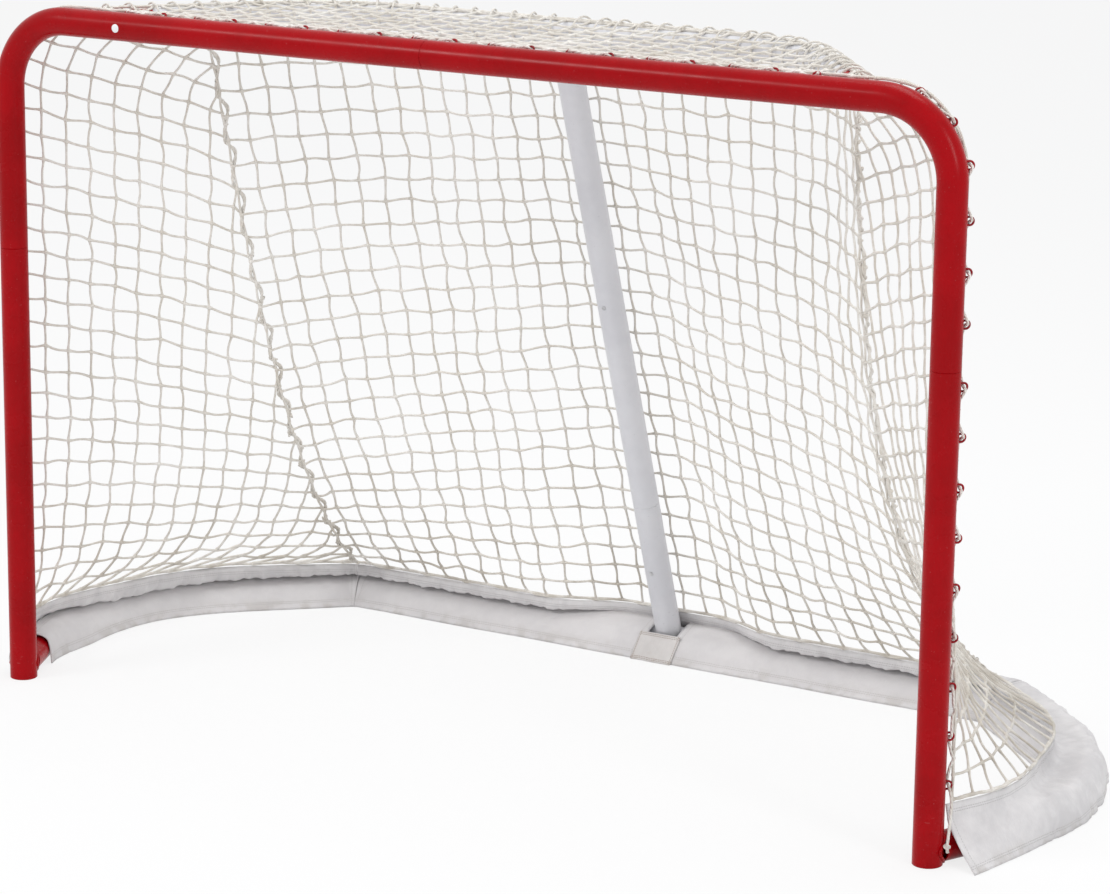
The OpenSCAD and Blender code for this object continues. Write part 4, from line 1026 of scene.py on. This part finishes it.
def seam_piece(side, flip, seed):
    rng = rng_for(seed)
    out = unit([0.75, 0.6, 0.2])
    along_dir = unit(seam(0.9) - seam(0.1))
    across = unit(np.cross(out, along_dir))
    n = 560
    tubes = Tubes(8)
    v = np.interp(np.linspace(2, SEAM_S_TABLE[-1] - 6, n), SEAM_S_TABLE, V_TABLE)
    base = np.array([seam(t) for t in v])
    run = np.linspace(0, 1, n)
    wob = np.cumsum(rng.normal(0, 0.3, (n, 2)), axis=0)
    wob -= run[:, None] * wob[-1]
    wob = np.clip(wob, -2.5, 2.5)
    turns = SEAM_S_TABLE[-1] / 88
    ph = run * turns * TURN + 0.15 * rng.normal(0, 0.25, n).cumsum()
    main = base + out * (3.2 + wob[:, :1]) + across * (7.0 * np.sin(ph) + wob[:, 1])[:, None]
    tubes.add(main, 2.45, ref=out, mirror=flip)
    # Second strand, worked round the first once in every cell, with a small knot there
    other = main + (out * np.cos(2 * ph)[:, None] + across * np.sin(2 * ph)[:, None]) * 3.4
    tubes.add(other, 2.0, ref=out, mirror=flip)
    for k in range(int(2 * turns)):
        i = int((k + 0.5) / (2 * turns) * n)
        q = main[i] + out * 1.5
        w = [rng.normal(0, 3.5, 3) for _ in range(2)]
        tubes.add([q - w[0], q - w[0] * 0.3, q + w[1] * 0.3, q + w[1]], [1.6, 4.1, 3.9, 1.4], mirror=flip)
    place(tubes.build(f"{side}_seam_lacing"), twine, "net_twine", f"{side}_seam_cord")


seam_piece("left", True, 31)
seam_piece("right", False, 32)

# ---- Lacing through the hooks

LACE_BACK = EDGE_BACK - 2 * CORD_R - 0.2
LACE_SEAT = 30.9  # from a tube's axis to the rope in its hook


def lace_out(m):
    """How far outward the lacing meets the border cord at the post's axis point m."""
    if m[2] <= BEND_Z:
        return edge_out(m[2] - net_foot(FOOT_S)[2]) - 1.5
    t = math.atan2(m[2] - BEND_Z, abs(m[0]) - BEND_X) if abs(m[0]) > BEND_X else math.pi / 2
    return edge_out(FRONT_LEN + BEND_LEN * t / (math.pi / 2)) - 1.5


def lace(hooks, rng):
    pts = []
    for i, (kind, value) in enumerate(hooks):
        k, o, a = hook_frame(kind, value)
        s = -1 if i % 2 == 0 else 1
        b = vec(0, 1.0, 0)
        c = k + (o + b) / math.sqrt(2) * LACE_SEAT
        l = (b - o) / math.sqrt(2) * 7 * s
        pts += [c - 5.2 * a - l, c, c + 5.2 * a + l]
        if i < len(hooks) - 1:
            k2, o2, _ = hook_frame(*hooks[i + 1])
            m, q = (k + k2) / 2, unit(o + o2)
            mid = m + LACE_BACK * b + lace_out(m) * q
            go = (k2 - k) / np.linalg.norm(k2 - k) * 9
            # Round the net's border cord and back
            pts += [mid - go + rng.normal(0, 0.6, 3), mid + b * 9.5 + q * 1.5, mid + go + rng.normal(0, 0.6, 3)]
    return pts


def rope(name, node, pts, flip=False):
    tubes = Tubes(10)
    tubes.add(spline(pts, smooth_cuts(5)), CORD_R, mirror=flip)
    place(tubes.build(name), lace_cord, "lacing_rope", node)


SIDE_HOOKS = [("bend", t) for t in BENDS] + [("post", z) for z in UPPER_ZS[::-1]] + [("post", z) for z in HOOK_ZS]
rope("crossbar_lacing_rope", "crossbar_lacing", lace([("bar", HOOK_STEP * i) for i in range(-9, 10)], rng_for(41)))
for side, flip, seed in (("left", True, 42), ("right", False, 43)):
    pts = lace(SIDE_HOOKS, rng_for(seed))
    if not flip:
        pts[-1] = tail_pts[0]
    rope(f"{side}_post_lacing_rope", f"{side}_post_lacing", pts, flip)

# ---- Lashing of the net round the shelf tube, and ties round the base


def shelf_lashing():
    rng = rng_for(44)
    tubes = Tubes(8)
    s0, s1 = 44.0, SHELF_MIDDLE
    turns = int((s1 - s0) / 40)
    n = turns * 22
    for flip in (True, False):
        pts = []
        for k in range(n + 1):
            s = s0 + (s1 - s0) * k / n
            a = TURN * turns * k / n + 0.5 * math.sin(k * 0.13)
            r = 27.9 + 0.7 * math.sin(k * 0.7)
            s += 2.5 * math.sin(a * 0.5 + 1)
            pts.append(shelf_at(s, 3.3 + r * math.cos(a), BAR_Z + 3.3 + r * math.sin(a)))
        tubes.add(pts, 1.9, mirror=flip)
        # Border cords of the two panels, side by side on the outer upper side
        for out, rise, r in ((19.5, 17.0, 3.0), (1.0, 25.5, 2.8)):
            line = []
            for s in np.linspace(48, s1, 150):
                line.append(shelf_at(s, out + rng.normal(0, 0.5), BAR_Z + rise + rng.normal(0, 0.5)))
            tubes.add(line, r, ref=[0, 0, 1], mirror=flip)
    place(tubes.build("shelf_lashing_cord"), twine, "net_twine", "shelf_net_ties")


shelf_lashing()


def base_ties():
    rng = rng_for(45)
    tubes = Tubes(8)
    r = BASE_R + 1.9
    for flip in (True, False):
        for s in np.arange(150, MIDDLE - 90 + 0.1, 130):
            lean = rng.normal(0, 2.0)
            pts = []
            for a in np.linspace(-55, 235, 40):
                c, h = cosd(a), sind(a)
                pts.append(base_at(s + lean * h, r * c, BASE_R + r * h))
            tubes.add(pts, 1.5, mirror=flip)
    place(tubes.build("base_tie_cords"), twine, "net_twine", "base_net_ties")


base_ties()

# ---- Canvas skirt

LEFT_FLARE, RIGHT_FLARE = -18.0, 50.0
PANEL_GAP = 1.2  # half the gap between panels at the rear corner
LOW_Z = 1.2  # middle of the cloth at its hem on the ice


def wave(s, k):
    return 2.2 * sind(s * k)


def outer_hem(s, flare):
    return 46 + flare * max(0, 1 - s / 240) ** 1.3


def inner_hem(s):
    return mix(FLAP_SIDE, FLAP_BACK, smooth((s - 450) / 300)) - 28 * smooth((260 - s) / 170)


def wall_row(s, flare=RIGHT_FLARE):
    h, p, n = skirt_h(s), pulled(s), skirt_n(s)
    hem = outer_hem(s, flare)
    crumple = 2.0 * math.sin(s * 0.083) + 1.6 * math.sin(s * 0.211 + 1.0) + 1.2 * math.sin(s * 0.39 + 2.0)
    line = (
        (n + wave(s, 1.9) * 0.4, h),
        # Where the net pulls it inward, a slack fold hangs in front of the tube
        (mix(n + 3, n - 1 + crumple * 0.8, p), mix(h - 9, h - 19 + crumple * 0.3, p)),
        (mix(n + 6, n + 14 + crumple, p), mix(h - 18, 57 + 0.2 * crumple, p)),
        (17 + 2 * p + wave(s, 2.3) * 0.5, mix(0.64 * h + 2, 60.7, p)),
        (mix(35, hem, 0.25) + wave(s, 1.7) * 0.5, 33),
        (hem + wave(s, 1.3) * 0.6 - 2.2, LOW_Z),
    )
    return [base_at(s, n, z) for n, z in line]


def flap_row(s):
    line = (
        (19, 59.8),
        (0, 58.2 + wave(s, 2.1) * 0.3),
        (-19, 51.8 + wave(s, 2.1) * 0.3),
        (-12.6 - inner_hem(s) * 0.45 + wave(s, 1.5) * 0.3, 37.8),
        (-inner_hem(s) + wave(s, 1.1) * 0.5, LOW_Z),
    )
    return [base_at(s, n, z) for n, z in line]


def creases(S, W, rng, count, amp, reach, tilt=0.5):
    """Random soft creases over a cloth's own plane, in mm."""
    out = np.zeros_like(S)
    for _ in range(count):
        s0, w0 = rng.uniform(S.min(), S.max()), rng.uniform(W.min(), W.max())
        a = rng.normal(0, tilt)
        x = (S - s0) * math.cos(a) + (W - w0) * math.sin(a)
        y = -(S - s0) * math.sin(a) + (W - w0) * math.cos(a)
        x = x + rng.normal(0, 0.004) * y * y
        width, length = rng.uniform(3.5, 11), rng.uniform(0.35, 1.0) * reach
        sign = rng.choice([-1, 1])
        prof = np.exp(-((x / width) ** 2)) - 0.45 * np.exp(-(((x - 1.5 * width * sign) / width) ** 2))
        out += amp * rng.uniform(0.3, 1.0) * sign * prof * np.exp(-((y / length) ** 2))
    return out


def cloth(name, rows, thick, hem_w, rng, count, amp, free, mirror, mat, node):
    """Canvas panel from rows of control points; free(w) is how far it may move at height share w."""
    m = 26
    g = []
    for r in rows:
        # Even spacing down each row
        line = spline(r, smooth_cuts(9))
        d = run_lengths(line)
        at = np.linspace(0, d[-1], m)
        g.append(np.stack([np.interp(at, d, line[:, k]) for k in range(3)], 1))
    g = np.array(g)
    n = len(g)

    def normals(g):
        x = np.cross(np.gradient(g, axis=0), np.gradient(g, axis=1))
        return x, unit(x)

    ds = np.linalg.norm(np.diff(g, axis=0), axis=2).mean(1)
    S = np.concatenate([[0], np.cumsum(ds)])[:, None] * np.ones((1, m))
    dw = np.linalg.norm(np.diff(g, axis=1), axis=2)
    W = np.concatenate([np.zeros((n, 1)), np.cumsum(dw, axis=1)], axis=1)
    flat_w, flat_l = float(W[:, -1].mean()), float(S[-1, 0])
    nrm = normals(g)[1]
    move = creases(S, W, rng, count, amp, 60) + creases(S, W, rng, count * 2, amp * 0.35, 26, 1.2)
    g = g + nrm * (move * free(W / W[:, -1:]))[:, :, None]
    g[:, :, 2] = np.maximum(g[:, :, 2], thick / 2 + 0.3)
    hem = np.minimum(W, W[:, -1:] - W)
    end = np.minimum(S, S[-1:] - S)
    # Twice as thick where the hem is folded over
    t = thick * (1 + np.clip((hem_w + 1.0 - np.minimum(hem, end)) / 1.5, 0, 1))
    x, nrm = normals(g)
    v = []
    for face in (g + nrm * (t / 2)[:, :, None], g - nrm * (t / 2)[:, :, None]):
        face[:, :, 2] = np.maximum(face[:, :, 2], 0.15)
        v.append(face.reshape(-1, 3))
    v = np.concatenate(v)
    idx = np.arange(n * m).reshape(n, m)
    a, b, c, d = idx[:-1, :-1].ravel(), idx[1:, :-1].ravel(), idx[1:, 1:].ravel(), idx[:-1, 1:].ravel()
    o = n * m
    quads = [np.stack([a, b, c, d], 1), np.stack([a + o, d + o, c + o, b + o], 1)]
    for line, rev in ((idx[:, 0], True), (idx[:, -1], False), (idx[0], False), (idx[-1], True)):
        p, q = line[:-1], line[1:]
        quads.append(np.stack([p, p + o, q + o, q] if rev else [p, q, q + o, p + o], 1))
    quads = np.concatenate(quads)
    if mirror:
        v = v * FLIP
        quads = quads[:, ::-1]
    layers = {}
    for key, pair in (("cloth", (S, W)), ("hem", (hem, end))):
        uv = np.stack([z.ravel() for z in pair], 1) / 1000
        layers[key] = (np.concatenate([uv, uv])[quads], np.zeros((0, 3, 2)))
    ob = new_mesh(name, v, quads, [], layers)
    place(ob, mat, "skirt_canvas", node)
    area = float(np.linalg.norm(x, axis=2).mean() * (n - 1) * (m - 1)) / 1e6
    area = min(area, flat_w * flat_l / 1e6)


def lower_free(w):
    return 0.25 + 0.75 * np.clip(w * 1.4, 0, 1)


def flap_free(w):
    """Tight over the tube, free below it."""
    return 0.35 + 0.75 * np.clip((w - 0.45) * 3, 0, 1)


for side, flip, seed, flare in (("left", True, 61, LEFT_FLARE), ("right", False, 65, RIGHT_FLARE)):
    rng = rng_for(seed)
    side_rows = [wall_row(s, flare) for s in np.linspace(28, SIDE_END - PANEL_GAP, 190)]
    side_flap = [flap_row(s) for s in np.linspace(88, SIDE_END - PANEL_GAP, 150)]
    rear_rows = [wall_row(s) for s in np.linspace(SIDE_END + PANEL_GAP, MIDDLE - 0.4, 150)]
    rear_flap = [flap_row(s) for s in np.linspace(SIDE_END + PANEL_GAP, MIDDLE - 31.9, 110)]
    for part, rows, count, amp, free, mat, held, rests in (
        ("side_wall", side_rows, 60, 3.4, lower_free, wall_canvas, "hung", f"{side}_side_netting"),
        ("side_flap", side_flap, 40, 1.9, flap_free, canvas, "draped", f"{side}_base_bow"),
        ("rear_wall", rear_rows, 44, 2.6, lower_free, wall_canvas, "hung", "back_netting"),
        ("rear_flap", rear_flap, 30, 1.7, flap_free, canvas, "draped", "rear_base_pipe"),
    ):
        node = f"{side}_{part[:4]}_skirt"
        cloth(f"{side}_{part}", rows, 1.1, 15, rng, count, amp, free, flip, mat, node)

rows = [
    [[x, BASE_Y - 50, 47], [x, BASE_Y - 17 - FLAP_BACK * 0.47, 37.2], [x, BASE_Y - FLAP_BACK - 5, LOW_Z]]
    for x in np.linspace(-44, 44, 34)
]
cloth(
    "front_patch", rows, 1.3, 8, rng_for(70), 8, 1.6, lambda w: 0.5 + 0.5 * w, False, patch_canvas, "skirt_patch",
)

# ---- Floor, light and background


floor_mat = bpy.data.materials.new("pale_floor")
t = Tree(floor_mat)
share = t.mul(t.sees_background(), 0.8)
pale = t.new("BsdfDiffuse", {"Color": (0.86, 0.86, 0.86)}).outputs[0]
glow = t.new("Emission", {"Color": (1, 1, 1), "Strength": 1.0}).outputs[0]
mixed = t.new("MixShader", {0: share, 1: pale, 2: glow}).outputs[0]
t.new("OutputMaterial", {0: mixed})
bm = bmesh.new()
bmesh.ops.create_grid(bm, x_segments=4, y_segments=4, size=45)
me = bpy.data.meshes.new("floor")
bm.to_mesh(me)
bm.free()
me.materials.append(floor_mat)
linked("floor", me)

world = bpy.data.worlds.new("studio")
bpy.context.scene.world = world
t = Tree(world)
soft = t.new("Background", {"Color": (0.97, 0.98, 1.0), "Strength": 0.70}).outputs[0]
white_bg = t.new("Background", {"Color": (1, 1, 1), "Strength": 1.0}).outputs[0]
mixed = t.new("MixShader", {0: t.sees_background(), 1: soft, 2: white_bg}).outputs[0]
t.new("OutputWorld", {0: mixed})


def lamp(name, at, target, size, power):
    data = bpy.data.lights.new(name, "AREA")
    data.shape = "RECTANGLE"
    data.size, data.size_y = size
    data.energy = power
    ob = linked(name, data)
    ob.location = at
    ob.rotation_euler = (Vector(target) - Vector(at)).to_track_quat("-Z", "Y").to_euler()


lamp("key", (-3.4, -5.0, 4.6), (0, 0, 0.7), (2.2, 1.2), 140)
lamp("fill", (5.2, -2.2, 3.2), (0.3, 0, 0.6), (1.2, 2.6), 75)
lamp("top", (0.4, 0.8, 5.2), (0, 0.2, 0.6), (3.0, 2.0), 70)
